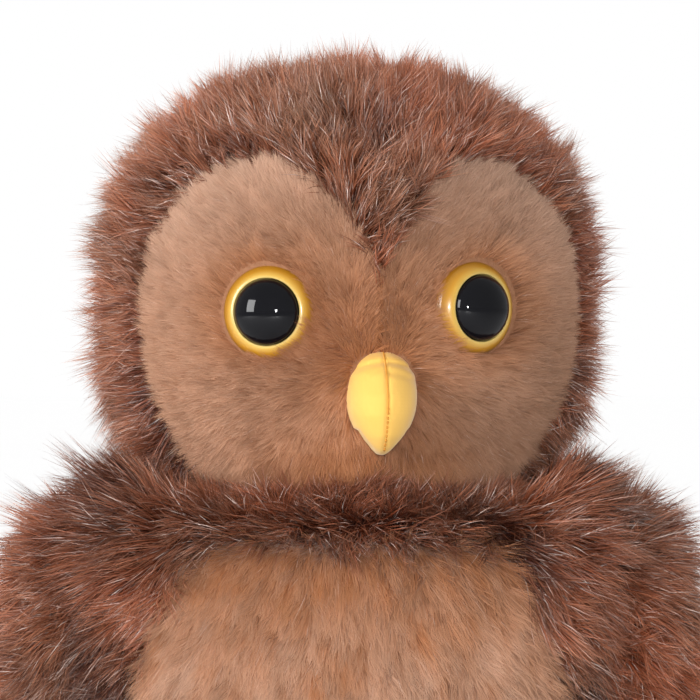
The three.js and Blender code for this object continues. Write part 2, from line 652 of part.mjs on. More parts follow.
const bellyButton = () => turnedAlongY([[0, BUTTON.front], [BUTTON.pad - 2, BUTTON.front], [BUTTON.pad, -44.5],
  [BUTTON.pad, -42.5], [BUTTON.stem, -41.5], [BUTTON.stem, -23.4], [BUTTON.flange, -23.4],
  [BUTTON.flange, -21.9], [2, -21.9], [2, BUTTON.back], [0, BUTTON.back]], BUTTON.z);

function buttonSpring() {
  const geometry = geometryOf(coil(4.2, 0.35, 3, 5));
  geometry.rotateX(-Math.PI / 2);
  geometry.translate(0, -21.3, BUTTON.z);
  return solid(geometry);
}

// A magnet behind a cone that opens backwards.
const speaker = () => turnedAlongY([[0, 7], [9, 7], [9, 12], [12, 13], [17, 20], [17, 22.6], [15, 22.6],
  [10, 19.5], [0, 19]], SPEAKER_Z);
const microphone = () => turnedAlongY([[0, -22.9], [3, -22.9], [3, -19], [0, -19]], MICROPHONE_Z, 16);

function circuitBoard() {
  const { x, y: [front, back], z: [low, high] } = BOARD;
  const holes = [-1, 1].flatMap((side) => [low + 4, high - 4].map((z) =>
    rodY(SCREW.hole, side * (x - 4), z, front - 5, back + 3, 10)));
  return cut(block(-x, x, front, back, low, high), ...holes);
}

const soundChip = () => block(-12, 12, BOARD.y[1] + GAP, -11, 42, 58);
const wireLoom = () => sweep([[-22, -12, 88], [-20, -3, 97], [-22, 13, 108], [0, 20, 116], [11, 17, 120]]
  .map((p) => new THREE.Vector3(...p)), 1.1, 14, 5);

// ---- Wings and their drive -----------------------------------------------------------------

const WING_PITCH = (TEETH.wing * MODULE) / 2;
const RACK_X = SHOULDER.x - WING_PITCH;

// A crosshead with a rack at each end for the wings and one on its stem for the motor.
function wingYoke() {
  const [armEnd, stemLeft, stemFoot] = [32, -5, 87];
  const stemRoot = DRIVE.x - (TEETH.drive * MODULE) / 2 - DEDENDUM;
  const rackRoot = RACK_X - DEDENDUM;
  const [barLow, barHigh] = [SHOULDER.z - 4, SHOULDER.z + 4];
  const [endLow, endHigh] = [SHOULDER.z - 7, SHOULDER.z + 7];
  const stem = rackEdge(stemRoot + DEDENDUM, DRIVE.z, TEETH.driveRack);
  const arm = [[armEnd, barLow], [armEnd, endLow], [rackRoot, endLow],
    ...rackEdge(RACK_X, SHOULDER.z, TEETH.wingRack), [rackRoot, endHigh], [armEnd, endHigh], [armEnd, barHigh]];
  const otherArm = [...arm].reverse().map(([x, z]) => [-x, z]);
  return plateXZ([[stemLeft, stemFoot], [stemRoot, stemFoot], ...stem, [stemRoot, barLow], ...arm, ...otherArm,
    [stemLeft, barLow]], -2, 2);
}

// A drive pinion whose tooth gap faces the stem's rack, with its shaft into the motor behind it.
function wingDrivePinion() {
  const halfTooth = Math.PI / TEETH.drive;
  return join(gearY(TEETH.drive, Math.PI + halfTooth, DRIVE.x, DRIVE.z, -3, 3),
    rodY(1, DRIVE.x, DRIVE.z, 2, DRIVE.motorY + 2.5, 10));
}

function wingMotor() {
  const geometry = geometryOf(motorCan(16));
  geometry.rotateX(Math.PI / 2);
  geometry.translate(DRIVE.x, DRIVE.motorY, DRIVE.z);
  return solid(geometry);
}

// The wing's pad lies against the body's side and is thickest in its middle.
function wingPad(side) {
  const inner = (y, z) => [side * (bodySideX(y, z) + WING.clearance), y, z];
  const outer = (y, z, edge) => {
    const swell = WING.rim + (WING.thickness - WING.rim) * Math.sqrt(1 - (0.98 * edge) ** 2);
    return [side * (bodySideX(y, z) + WING.clearance + swell), y, z];
  };
  return sheet(WING_OUTLINE, inner, outer, 0, 20, 3);
}

// Arm and paddle as one plate, grown by a margin.
function wingPaddle(side, margin) {
  const lean = new THREE.Vector2(PADDLE.lean, -1).setLength(PADDLE.length);
  const arm = new THREE.Vector2(SHOULDER.reach, 0).rotateAround(new THREE.Vector2(), SHOULDER.droop);
  const root = [SHOULDER.x + arm.x, SHOULDER.z + arm.y];
  const foot = [root[0] + lean.x, root[1] + lean.y];
  const half = PADDLE.half + margin;
  const top = root[1] + PADDLE.rise + margin;
  const paddle = plateXZ([[side * (root[0] - half), top], [side * (root[0] + half), top],
    [side * (foot[0] + half), foot[1] - margin], [side * (foot[0] - half), foot[1] - margin]],
  PADDLE.y[0] - margin, PADDLE.y[1] + margin);
  const across = new THREE.Vector2(-arm.y, arm.x).setLength(ARM.half + margin);
  const corner = ([x, z], way) => [side * (x + way * across.x), z + way * across.y];
  const start = [SHOULDER.x, SHOULDER.z];
  const bar = plateXZ([corner(start, 1), corner(root, 1), corner(root, -1), corner(start, -1)],
    ARM.y[0] - margin, ARM.y[1] + margin);
  return join(paddle, bar);
}

function wingArm(side) {
  const facing = side > 0 ? Math.PI : 0;
  const gear = gearY(TEETH.wing, facing, side * SHOULDER.x, SHOULDER.z, -3, 3);
  const hub = rodY(ARM.hub, side * SHOULDER.x, SHOULDER.z, ...ARM.hubY);
  const bore = rodY(SHOULDER.shaft + GAP, side * SHOULDER.x, SHOULDER.z, -20, 20);
  return cut(join(gear, hub, wingPaddle(side, 0)), bore);
}

const wingShaft = (side) => rodY(SHOULDER.shaft, side * SHOULDER.x, SHOULDER.z, ...SHAFT_Y);
const wing = (side) => cut(wingPad(side), wingPaddle(side, 0.5));

// ---- Assembly ------------------------------------------------------------------------------

const owl = new THREE.Group();
const head = new THREE.Group();
head.rotation.z = HEAD.yaw;
owl.add(head);

function place(group, name, manifold, finish) {
  const [colour, roughness, metalness] = FINISH[finish];
  const material = new THREE.MeshStandardMaterial({ color: colour, roughness, metalness });
  const mesh = new THREE.Mesh(geometryOf(manifold), material);
  mesh.name = name;
  group.add(mesh);
}

place(head, 'head_skin', headSkin(), 'brownFur');
place(head, 'beak', beak(), 'yellowCloth');
place(head, 'skull_front', skullHalf(false), 'whitePlastic');
place(head, 'skull_back', skullHalf(true), 'whitePlastic');
place(owl, 'head_gear', headGear(), 'gear');
place(owl, 'neck_tube', neckTube(), 'greyPlastic');
place(owl, 'neck_clip', neckClip(), 'steel');
place(owl, 'neck_pinion', neckPinion(), 'gear');
place(owl, 'neck_motor', neckMotor(), 'steel');
place(owl, 'neck_collar', collar(), 'brownFur');
place(owl, 'body_skin', bodySkin(), 'brownFur');
place(owl, 'belly_panel', bellySheet(0, 0, PANEL), 'beigeFur');
place(owl, 'tail', tail(), 'brownFur');
place(owl, 'chassis_front', chassisHalf(false), 'greyPlastic');
place(owl, 'chassis_back', chassisHalf(true), 'greyPlastic');
place(owl, 'base_plate', basePlate(), 'darkPlastic');
place(owl, 'battery_door', batteryDoor(), 'darkPlastic');
place(owl, 'battery_box', batteryBox(), 'greyPlastic');
place(owl, 'circuit_board', circuitBoard(), 'board');
place(owl, 'sound_chip', soundChip(), 'black');
place(owl, 'speaker', speaker(), 'darkPlastic');
place(owl, 'microphone', microphone(), 'steel');
place(owl, 'wire_loom', wireLoom(), 'wire');
place(owl, 'power_knob', powerKnob(), 'whitePlastic');
place(owl, 'belly_button', bellyButton(), 'whitePlastic');
place(owl, 'button_spring', buttonSpring(), 'steel');
place(owl, 'wing_yoke', wingYoke(), 'gear');
place(owl, 'wing_drive_pinion', wingDrivePinion(), 'gear');
place(owl, 'wing_motor', wingMotor(), 'steel');

Object.entries(SIDES).forEach(([name, side]) => {
  place(head, `face_disc_${name}`, discPanel(side), 'beigeFur');
  place(head, `eye_${name}`, eye(side), 'amber');
  place(head, `pupil_${name}`, pupil(side), 'black');
  place(head, `eye_washer_${name}`, eyeWasher(side), 'whitePlastic');
  place(head, `skull_screw_${name}`, screwY(side * SKULL_BOSS.x, SKULL_BOSS.headY, SKULL_BOSS.z, 30), 'steel');
  place(owl, `foot_${name}`, foot(side), 'yellowCloth');
  place(owl, `wing_${name}`, wing(side), 'brownFur');
  place(owl, `wing_arm_${name}`, wingArm(side), 'gear');
  place(owl, `wing_shaft_${name}`, wingShaft(side), 'steel');
});

CHASSIS_SCREWS.forEach(([x, z], i) => {
  place(owl, `chassis_screw_${i + 1}`, screwY(x, CHASSIS.screwY, z, 28), 'steel');
});
[0, 1, 2].forEach((i) => place(owl, `cell_${i + 1}`, cell(i), 'cell'));

export default owl;
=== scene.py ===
"""Looks of an interactive plush owl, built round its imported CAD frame: fur, face, wings, feet, studio."""
import json
import math

import bmesh
import bpy
import numpy as np
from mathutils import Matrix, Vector
from mathutils.kdtree import KDTree


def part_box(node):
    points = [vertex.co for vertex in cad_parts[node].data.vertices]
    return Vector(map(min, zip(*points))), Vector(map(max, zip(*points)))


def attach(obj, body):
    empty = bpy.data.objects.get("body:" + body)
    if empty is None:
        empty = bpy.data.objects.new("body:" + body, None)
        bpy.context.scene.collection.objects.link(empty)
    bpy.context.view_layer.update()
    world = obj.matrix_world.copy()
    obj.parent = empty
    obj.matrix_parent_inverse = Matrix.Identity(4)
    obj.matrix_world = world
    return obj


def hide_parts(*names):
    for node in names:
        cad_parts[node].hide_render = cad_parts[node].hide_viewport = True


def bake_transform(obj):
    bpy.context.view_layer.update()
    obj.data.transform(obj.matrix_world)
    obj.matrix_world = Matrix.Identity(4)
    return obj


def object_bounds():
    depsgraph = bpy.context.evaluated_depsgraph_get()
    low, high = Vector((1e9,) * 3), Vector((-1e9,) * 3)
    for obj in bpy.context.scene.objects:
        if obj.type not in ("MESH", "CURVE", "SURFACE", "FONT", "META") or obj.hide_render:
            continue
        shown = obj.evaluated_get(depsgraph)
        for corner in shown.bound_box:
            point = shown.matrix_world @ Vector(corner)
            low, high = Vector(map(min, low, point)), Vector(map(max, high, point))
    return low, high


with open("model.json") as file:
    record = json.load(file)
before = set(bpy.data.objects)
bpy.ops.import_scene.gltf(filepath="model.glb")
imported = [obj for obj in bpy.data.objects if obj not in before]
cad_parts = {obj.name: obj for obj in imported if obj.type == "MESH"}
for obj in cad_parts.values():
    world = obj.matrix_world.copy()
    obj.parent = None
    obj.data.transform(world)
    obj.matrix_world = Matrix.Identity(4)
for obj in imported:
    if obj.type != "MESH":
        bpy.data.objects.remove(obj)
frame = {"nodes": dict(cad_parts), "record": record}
cad_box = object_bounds()

MM = 0.001
SIDES = {"left": -1, "right": 1}

# ---- Places and sizes, read from the frame ----


def box_of(*nodes):
    """Lowest and highest corners over some CAD nodes, as numpy arrays."""
    corners = [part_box(node) for node in nodes]
    low = np.min([np.array(c[0]) for c in corners], axis=0)
    high = np.max([np.array(c[1]) for c in corners], axis=0)
    return low, high


def middle(node):
    low, high = box_of(node)
    return (low + high) / 2


HEAD_HIGH = box_of("head_skin")[1]
SCREW_SPAN = middle("skull_screw_right") - middle("skull_screw_left")
YAW = math.atan2(SCREW_SPAN[1], SCREW_SPAN[0])
HEAD_HALF_HEIGHT = 51 * MM
HEAD_JAW = 54 * MM
CROWN_FULLNESS = 2.3
JAW_FULLNESS = 2.6
HEAD_CENTRE_Z = HEAD_HIGH[2] - HEAD_HALF_HEIGHT
HEAD_HALF_WIDTH = 58 * MM
HEAD_FRONT = 50 * MM
HEAD_BACK = 56 * MM
NECK_RADIUS = 31.5 * MM
BODY_LOW, BODY_HIGH = box_of("body_skin")
BODY_HALF_WIDTH = (BODY_HIGH[0] - BODY_LOW[0]) / 2
BODY_DEPTH = 0.82
SKIN = 4 * MM

# The body's side as (half width, height), both as shares of the body's own size.
BODY_PROFILE = [(0.745, 0.0), (0.828, 0.043), (0.938, 0.149), (0.986, 0.301), (1.0, 0.453), (1.0, 0.642),
                (0.979, 0.794), (0.959, 0.885), (0.903, 0.953), (0.807, 0.995), (0.69, 1.0), (0.47, 0.99)]


def rotated(points, angle):
    """Points turned about the neck's axis."""
    c, s = math.cos(angle), math.sin(angle)
    return points @ np.array([[c, s, 0], [-s, c, 0], [0, 0, 1]])


def catmull_rom(a, b, c, d, t):
    """Points at shares t of the way from b to c, on a smooth curve through a, b, c and d."""
    return 0.5 * (2 * b + (c - a) * t + (2 * a - 5 * b + 4 * c - d) * t**2 + (3 * b - a - 3 * c + d) * t**3)


def smooth_open(points, count):
    """Smooth curve through points, from the first to the last."""
    p = np.array(points, float)
    p = np.vstack([2 * p[0] - p[1], p, 2 * p[-1] - p[-2]])
    spans = len(p) - 3
    u = np.linspace(0, spans, count)
    i = np.minimum(u.astype(int), spans - 1)
    return catmull_rom(p[i], p[i + 1], p[i + 2], p[i + 3], (u - i)[:, None])


def smooth_closed(points, count):
    """Smooth loop through points."""
    p = np.array(points, float)
    n = len(p)
    u = np.linspace(0, n, count, endpoint=False)
    i = u.astype(int)
    return catmull_rom(p[(i - 1) % n], p[i % n], p[(i + 1) % n], p[(i + 2) % n], (u - i)[:, None])


def inside(x, z, loop):
    """Which points (x, z) lie within a closed loop."""
    hit = np.zeros(len(x), bool)
    for (x0, z0), (x1, z1) in zip(loop, np.roll(loop, -1, axis=0)):
        crosses = (z0 > z) != (z1 > z)
        hit ^= crosses & (x < (x1 - x0) * (z - z0) / (z1 - z0 + 1e-12) + x0)
    return hit


def ripple(points, scale, seed):
    """Smooth noise from a few crossed waves, roughly between -1 and 1."""
    rng = np.random.default_rng(seed)
    total = np.zeros(len(points))
    for k in range(7):
        wave = rng.normal(size=3)
        wave *= 2 * math.pi / (np.linalg.norm(wave) * scale * (0.6 + 0.17 * k))
        total += np.sin(points @ wave + rng.uniform(0, 2 * math.pi))
    return total / 2.6


def unit(v):
    return v / np.maximum(np.linalg.norm(v, axis=-1, keepdims=True), 1e-9)


def ramp(value, start, end):
    """0 at the start and before it, 1 at the end and past it."""
    return np.clip((value - start) / (end - start), 0, 1)


def bell(value, centre, width):
    """1 at the centre, fading on both sides."""
    return np.exp(-(((value - centre) / width) ** 2))


def circle(count):
    """Angles of count points round a full turn."""
    return np.linspace(0, 2 * math.pi, count, endpoint=False)


def oval(half_x, half_y, z, angles):
    """Points round the Z axis."""
    return np.stack([half_x * np.cos(angles), half_y * np.sin(angles), z + 0 * angles], axis=1)


# ---- Mesh helpers ----


def add_mesh(name, verts, faces, material, body=None):
    mesh = bpy.data.meshes.new(name)
    mesh.from_pydata([tuple(v) for v in verts], [], [tuple(int(i) for i in f) for f in faces])
    mesh.polygons.foreach_set("use_smooth", [True] * len(mesh.polygons))
    mesh.materials.append(material)
    mesh.validate()
    obj = bpy.data.objects.new(name, mesh)
    bpy.context.scene.collection.objects.link(obj)
    if body:
        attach(obj, body)
    return obj


def add_solid(name, verts, faces, material, body=None):
    """A closed piece, with its faces turned outwards."""
    piece = add_mesh(name, verts, faces, material, body)
    work = bmesh.new()
    work.from_mesh(piece.data)
    bmesh.ops.recalc_face_normals(work, faces=work.faces)
    work.to_mesh(piece.data)
    work.free()
    return piece


def stand_in(piece, node, body=None):
    """Shows a piece in place of a CAD node."""
    if body:
        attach(piece, body)
    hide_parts(node)
    return piece


def riding(body):
    """Places a finished piece of pile on a body."""
    return lambda piece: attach(piece, body)


def ring_faces(rings, count, closed=False):
    """Quads between successive rings of count points; closed also joins the last ring to the first."""
    faces = []
    for r in range(rings if closed else rings - 1):
        a, b = r * count, ((r + 1) % rings) * count
        for i in range(count):
            j = (i + 1) % count
            faces.append((a + i, a + j, b + j, b + i))
    return faces


def capped_faces(rings, count):
    """Quads between successive rings, and a face over each end."""
    ends = [tuple(range(count)), tuple(range((rings - 1) * count, rings * count))]
    return ring_faces(rings, count) + ends


def pad_faces(rings, count):
    """Faces of a closed pad of two layers. Each layer is rings that grow from a middle point; the points
    of both layers come first, then the two middle points."""
    a, b = rings * count, 2 * rings * count
    edge = (rings - 1) * count
    faces = []
    for i in range(count):
        j = (i + 1) % count
        for r in range(0, edge, count):
            faces.append((r + i, r + count + i, r + count + j, r + j))
            faces.append((a + r + i, a + r + j, a + r + count + j, a + r + count + i))
        faces += [(b, i, j), (b + 1, a + j, a + i), (edge + i, a + edge + i, a + edge + j, edge + j)]
    return faces


def points_of(mesh):
    points = np.zeros(len(mesh.vertices) * 3)
    mesh.vertices.foreach_get("co", points)
    return points.reshape(-1, 3)


def set_points(obj, points):
    obj.data.vertices.foreach_set("co", points.ravel())
    obj.data.update()


def triangles_of(obj):
    """Vertex places, triangle corners and vertex normals of a mesh object."""
    mesh = obj.data
    mesh.calc_loop_triangles()
    tris = np.zeros(len(mesh.loop_triangles) * 3, int)
    mesh.loop_triangles.foreach_get("vertices", tris)
    normals = np.zeros(len(mesh.vertices) * 3)
    mesh.vertices.foreach_get("normal", normals)
    return points_of(mesh), tris.reshape(-1, 3), normals.reshape(-1, 3)


def scatter(obj, per_mm2, rng, keep=None):
    """Random points over a mesh with their smooth normals; keep(points, normals) picks which stay."""
    verts, tris, normals = triangles_of(obj)
    a, b, c = (verts[tris[:, k]] for k in range(3))
    area = np.linalg.norm(np.cross(b - a, c - a), axis=1) / 2
    count = int(area.sum() / MM**2 * per_mm2)
    pick = rng.choice(len(tris), count, p=area / area.sum())
    u, v = rng.random(count), rng.random(count)
    over = u + v > 1
    u[over], v[over] = 1 - u[over], 1 - v[over]
    w = np.stack([1 - u - v, u, v], axis=1)[:, :, None]
    points = (verts[tris[pick]] * w).sum(axis=1)
    spread = unit((normals[tris[pick]] * w).sum(axis=1))
    if keep is not None:
        chosen = keep(points, spread)
        points, spread = points[chosen], spread[chosen]
    return points, spread


# ---- Fur ----

MOST_STRANDS = 38000
# The pile stays off the floor, and just within the room the visual model may take round the frame.
ROOM = 0.028 * (np.array(cad_box[1]) - np.array(cad_box[0])) + 9.7 * MM
FUR_LOW = np.array([cad_box[0][0] - ROOM[0], cad_box[0][1] - ROOM[1], 0.4 * MM])
FUR_HIGH = np.array(cad_box[1]) + ROOM


def clump_leaders(points, share, rng):
    """For each strand, the strand that leads its clump."""
    count = max(2, int(len(points) * share))
    leaders = rng.choice(len(points), count, replace=False)
    tree = KDTree(count)
    for k, leader in enumerate(leaders):
        tree.insert(points[leader], k)
    tree.balance()
    return leaders[np.array([tree.find(p)[1] for p in points])]


def headings(points, normals, comb, leader, style, rng):
    """The direction each strand leaves the skin in, and the one it bends towards along the skin."""
    count = len(points)
    comb = unit(comb - (comb * normals).sum(axis=1, keepdims=True) * normals)
    lean = style["lean"] + style["lean_spread"] * rng.normal(size=count)
    lean += style["waves"] * ripple(points, 18 * MM, style["seed"]) + 0.15 * rng.normal(size=count)[leader]
    if "lean_at" in style:
        lean = lean * style["lean_at"](points)
    twist = style["stray"] * (0.6 * rng.normal(size=count) + rng.normal(size=count)[leader])
    twist += style["swirl"] * ripple(points, 20 * MM, style["seed"] + 1)
    heading = comb * np.cos(twist)[:, None] + np.cross(normals, comb) * np.sin(twist)[:, None]
    start = normals * np.cos(lean)[:, None] + heading * np.sin(lean)[:, None]
    return start, heading


def strand_lengths(points, leader, style, rng):
    count = len(points)
    length = rng.uniform(0.72, 1.05, count) * (1 + 0.12 * rng.normal(size=count)[leader].clip(-2, 1.2))
    length *= 1 + 0.07 * ripple(points, 14 * MM, style["seed"] + 2)
    length = style["length"] * length.clip(0.3, 1.15)
    return length * style["length_at"](points) if "length_at" in style else length


def strand_paths(points, normals, comb, style, rng):
    """Centre lines of the strands: (count, levels, 3)."""
    count = len(points)
    leader = clump_leaders(points, style["clumps"], rng)
    start, heading = headings(points, normals, comb, leader, style, rng)
    length = strand_lengths(points, leader, style, rng)
    bend = style["bend"] * heading + np.array([0, 0, -style["sag"]])
    bend = bend + style["frizz"] * rng.normal(size=(count, 3)).clip(-1.6, 1.6)
    bend = bend + style["curl"] * rng.normal(size=(count, 3))[leader].clip(-1.6, 1.6)
    t = np.linspace(0, 1, style["segments"] + 1)[None, :, None]
    path = points[:, None] + length[:, None, None] * (start[:, None] * t + bend[:, None] * t**2)
    pull = path[leader, -1] - path[:, -1]
    hold = style["clumping"] * rng.uniform(0.3, 1.0, count)
    path = path + pull[:, None] * hold[:, None, None] * t**1.6
    return np.clip(path, FUR_LOW, FUR_HIGH)


def ribbon_mesh(name, path, facing, width, tint, material):
    """Tapered ribbons along the paths as one mesh, with a colour for each vertex and a UV cell for each
    strand. Each ribbon lies flat to its own facing direction."""
    count, levels, _ = path.shape
    double = levels - 1
    side = unit(np.cross(unit(path[:, -1] - path[:, 0]), facing))
    taper = (1 - (np.arange(double) / levels) ** 2)[None, :, None]
    half = side[:, None] * (width[:, None, None] / 2) * taper
    pairs = np.stack([path[:, :-1] - half, path[:, :-1] + half], axis=2).reshape(count, double * 2, 3)
    verts = np.concatenate([pairs, path[:, -1:]], axis=1)
    per = double * 2 + 1
    quads = [[2 * k, 2 * k + 1, 2 * k + 3, 2 * k + 2] for k in range(double - 1)]
    corners = np.array(sum(quads, []) + [2 * double - 2, 2 * double - 1, 2 * double])
    loops = (np.arange(count)[:, None] * per + corners).ravel()
    starts = np.array([4 * k for k in range(double)])
    starts = (np.arange(count)[:, None] * len(corners) + starts).ravel()
    mesh = bpy.data.meshes.new(name)
    mesh.vertices.add(count * per)
    mesh.vertices.foreach_set("co", verts.astype(np.float32).ravel())
    mesh.loops.add(len(loops))
    mesh.loops.foreach_set("vertex_index", loops.astype(np.int32))
    mesh.polygons.add(len(starts))
    mesh.polygons.foreach_set("loop_start", starts.astype(np.int32))
    mesh.update(calc_edges=True)
    mesh.polygons.foreach_set("use_smooth", np.ones(len(starts), bool))
    colours = np.concatenate([np.repeat(tint[:, :-1], 2, axis=1), tint[:, -1:]], axis=1)
    colours = np.concatenate([colours, np.ones((count, per, 1))], axis=2)
    layer = mesh.color_attributes.new("tint", "BYTE_COLOR", "POINT")
    layer.data.foreach_set("color", colours.astype(np.float32).ravel())
    cell_uvs(mesh, count, double, corners)
    mesh.materials.append(material)
    obj = bpy.data.objects.new(name, mesh)
    bpy.context.scene.collection.objects.link(obj)
    return obj


def cell_uvs(mesh, count, double, corners):
    """One small upright UV cell for each strand, in a grid over the square."""
    columns = math.ceil(math.sqrt(count * 4))
    rows = math.ceil(count / columns)
    u = np.array([0.2, 0.8] * double + [0.5])
    v = np.array(sum([[0.1 + 0.8 * k / double] * 2 for k in range(double)], []) + [0.9])
    index = np.arange(count)
    us = ((index % columns)[:, None] + u[corners]) / columns
    vs = ((index // columns)[:, None] + v[corners]) / rows
    layer = mesh.uv_layers.new(name="OFBake")
    layer.data.foreach_set("uv", np.stack([us, vs], axis=2).astype(np.float32).ravel())


def grow(name, points, normals, comb, style, palette, material, place):
    """Fur from points on a skin. place(obj) puts each finished piece on its body."""
    rng = np.random.default_rng(style["seed"])
    path = strand_paths(points, normals, comb, style, rng)
    width = style["width"] * rng.uniform(0.7, 1.25, len(points))
    facing = normals + style["roll"] * rng.normal(size=normals.shape)
    tint = palette(points, path.shape[1], rng)
    order = np.argsort(np.arctan2(points[:, 1], points[:, 0]), kind="stable")
    parts = math.ceil(len(points) / MOST_STRANDS)
    for k, chosen in enumerate(np.array_split(order, parts)):
        piece_name = name if parts == 1 else f"{name}_{k + 1}"
        piece = ribbon_mesh(piece_name, path[chosen], facing[chosen], width[chosen], tint[chosen], material)
        piece.visible_shadow = style["shadow"]
        place(piece)


# The long pile stands in tufts. The short pile lies close, and casts no shadow so that it looks as soft
# as fine fibres that let light through.
LONG_PILE = {"segments": 3, "length": 11.5 * MM, "width": 0.22 * MM, "lean": 0.5, "lean_spread": 0.2,
             "stray": 0.45, "swirl": 0.5, "bend": 0.25, "sag": 0.08, "clumps": 0.055, "clumping": 0.55,
             "frizz": 0.14, "curl": 0.2, "roll": 0.8, "waves": 0.2, "shadow": True}
SHORT_PILE = {"segments": 2, "length": 5.2 * MM, "width": 0.18 * MM, "lean": 0.9, "lean_spread": 0.15,
              "stray": 0.2, "swirl": 0.25, "bend": 0.12, "sag": 0.03, "clumps": 0.03, "clumping": 0.12,
              "frizz": 0.1, "curl": 0.08, "roll": 0.35, "waves": 0.08, "shadow": False}


# ---- Colours ----


def linear(r, g, b):
    """Linear values of an sRGB colour in 0 to 255."""
    c = np.array([r, g, b]) / 255
    return np.where(c <= 0.04045, c / 12.92, ((c + 0.055) / 1.055) ** 2.4)


BROWN_ROOT = linear(80, 32, 16)
BROWN = linear(148, 76, 46)
BROWN_TIP = linear(192, 134, 104)
DARK = linear(54, 26, 20)
DARK_TIP = linear(100, 58, 46)
# Colour of the painted highlights on strands.
GLINT = linear(255, 236, 226)
BEIGE_ROOT = linear(146, 102, 74)
BEIGE = linear(164, 120, 92)
BEIGE_TIP = linear(178, 138, 112)
# Orange of the short pile: partly its own tone, partly painted warm shade and reflected colour.
AMBER_AND_WARM_SHADE = linear(164, 98, 50)
FROST = linear(204, 176, 156)


def gradient(root, mid, tip, levels):
    """Colours along a strand, (levels, 3)."""
    t = np.linspace(0, 1, levels)[:, None]
    return np.where(t < 0.5, root + (mid - root) * t * 2, mid + (tip - mid) * (t * 2 - 1))


def with_glints(colour, share, strength, rng):
    """Some strands get one bright stretch of painted highlight, as where a real fibre flattens and catches
    the light.
    """
    count, levels, _ = colour.shape
    at = rng.integers(1, levels, count)
    bright = (np.arange(levels)[None] == at[:, None]) & (rng.random(count) < share)[:, None]
    amount = bright * strength * rng.random((count, 1))
    return colour + (GLINT - colour) * amount[:, :, None]


def brown_palette(dark_at):
    """Palette of the long pile. dark_at(points) says how dark each place is, 0 to 1."""
    def palette(points, levels, rng):
        count = len(points)
        brown = gradient(BROWN_ROOT, BROWN, BROWN_TIP, levels)[None]
        dark = gradient(DARK * 0.6, DARK, DARK_TIP, levels)[None]
        streak = np.clip(0.5 + 1.5 * ripple(points, 12 * MM, 77), 0, 1) * 0.3
        share = dark_at(points) * rng.uniform(0.4, 1.2, count) + streak * rng.random(count)
        share = np.clip(share, 0, 1)[:, None, None]
        colour = brown * (1 - share) + dark * share
        colour = colour * (1 + 0.24 * rng.normal(size=(count, 1, 1)).clip(-2, 2))
        warm = 1 + 0.1 * ripple(points, 30 * MM, 91)[:, None, None] * np.array([1, 0, -0.6])
        return np.clip(with_glints(colour * warm, 0.22, 0.9, rng), 0.002, 1)
    return palette


def beige_palette(orange_and_warm_shade_at, frost_at, shade_and_tone_at):
    """Palette of the short pile. Its three functions say at some points, in the order of its arguments, how
    orange it is (partly its own tone, partly painted warm shade and reflected colour), how pale, and how
    much darker (mostly painted shade), all 0 to 1."""
    def palette(points, levels, rng):
        count = len(points)
        base = gradient(BEIGE_ROOT, BEIGE, BEIGE_TIP, levels)[None]
        orange_and_warm_shade = orange_and_warm_shade_at(points)[:, None, None]
        frost = frost_at(points)[:, None, None] * 0.45
        colour = base * (1 - orange_and_warm_shade) + base * orange_and_warm_shade * (AMBER_AND_WARM_SHADE / BEIGE)
        colour = colour * (1 - frost) + FROST * frost
        tone = 1 + 0.05 * ripple(points, 9 * MM, 31) + 0.06 * rng.normal(size=count).clip(-2, 2)
        tone = tone * (1 - shade_and_tone_at(points))
        return np.clip(with_glints(colour * tone[:, None, None], 0.03, 0.3, rng), 0.002, 1)
    return palette


# ---- Materials ----


def principled(name, **values):
    """A node material with one Principled BSDF; returns material, nodes, links and the shader node."""
    material = bpy.data.materials.new(name)
    material.use_nodes = True
    nodes, links = material.node_tree.nodes, material.node_tree.links
    shader = nodes["Principled BSDF"]
    for key, value in values.items():
        shader.inputs[key.replace("_", " ")].default_value = value
    return material, nodes, links, shader


def add_node(nodes, kind, **values):
    """A new shader node, with some of its inputs set."""
    node = nodes.new(f"ShaderNode{kind}")
    for key, value in values.items():
        node.inputs[key.replace("_", " ")].default_value = value
    return node


def fur_material(name, roughness, gloss, sheen):
    """Pile coloured by each strand's own tint, with small changes along it."""
    material, nodes, links, shader = principled(name, Roughness=roughness, Sheen_Weight=sheen,
                                                Sheen_Roughness=0.35, Specular_IOR_Level=gloss)
    tint = add_node(nodes, "VertexColor")
    tint.layer_name = "tint"
    noise = add_node(nodes, "TexNoise", Scale=160)
    vary = add_node(nodes, "HueSaturation")
    scaled = add_node(nodes, "MapRange", To_Min=0.8, To_Max=1.2)
    links.new(noise.outputs["Fac"], scaled.inputs["Value"])
    links.new(scaled.outputs["Result"], vary.inputs["Value"])
    links.new(tint.outputs["Color"], vary.inputs["Color"])
    links.new(vary.outputs["Color"], shader.inputs["Base Color"])
    return material


def two_tones(nodes, links, shader, factor, a, b):
    """Base colour between a and b."""
    mix = add_node(nodes, "Mix")
    mix.data_type = "RGBA"
    links.new(factor, mix.inputs["Factor"])
    mix.inputs["A"].default_value = (*a, 1)
    mix.inputs["B"].default_value = (*b, 1)
    links.new(mix.outputs["Result"], shader.inputs["Base Color"])


def noise_node(nodes, links, scale):
    """Soft noise over the object's own coordinates."""
    coords = add_node(nodes, "TexCoord")
    noise = add_node(nodes, "TexNoise", Scale=scale, Detail=4)
    links.new(coords.outputs["Object"], noise.inputs["Vector"])
    return noise.outputs["Fac"]


def bump(nodes, links, shader, height, strength, distance):
    node = add_node(nodes, "Bump", Strength=strength, Distance=distance)
    links.new(height, node.inputs["Height"])
    links.new(node.outputs["Normal"], shader.inputs["Normal"])


def plush_backing(name, dark, light):
    """Knitted cloth seen between the strands."""
    material, nodes, links, shader = principled(name, Roughness=1.0, Specular_IOR_Level=0.1)
    fine = noise_node(nodes, links, 900)
    two_tones(nodes, links, shader, fine, dark, light)
    bump(nodes, links, shader, fine, 0.6, 0.0008)
    return material


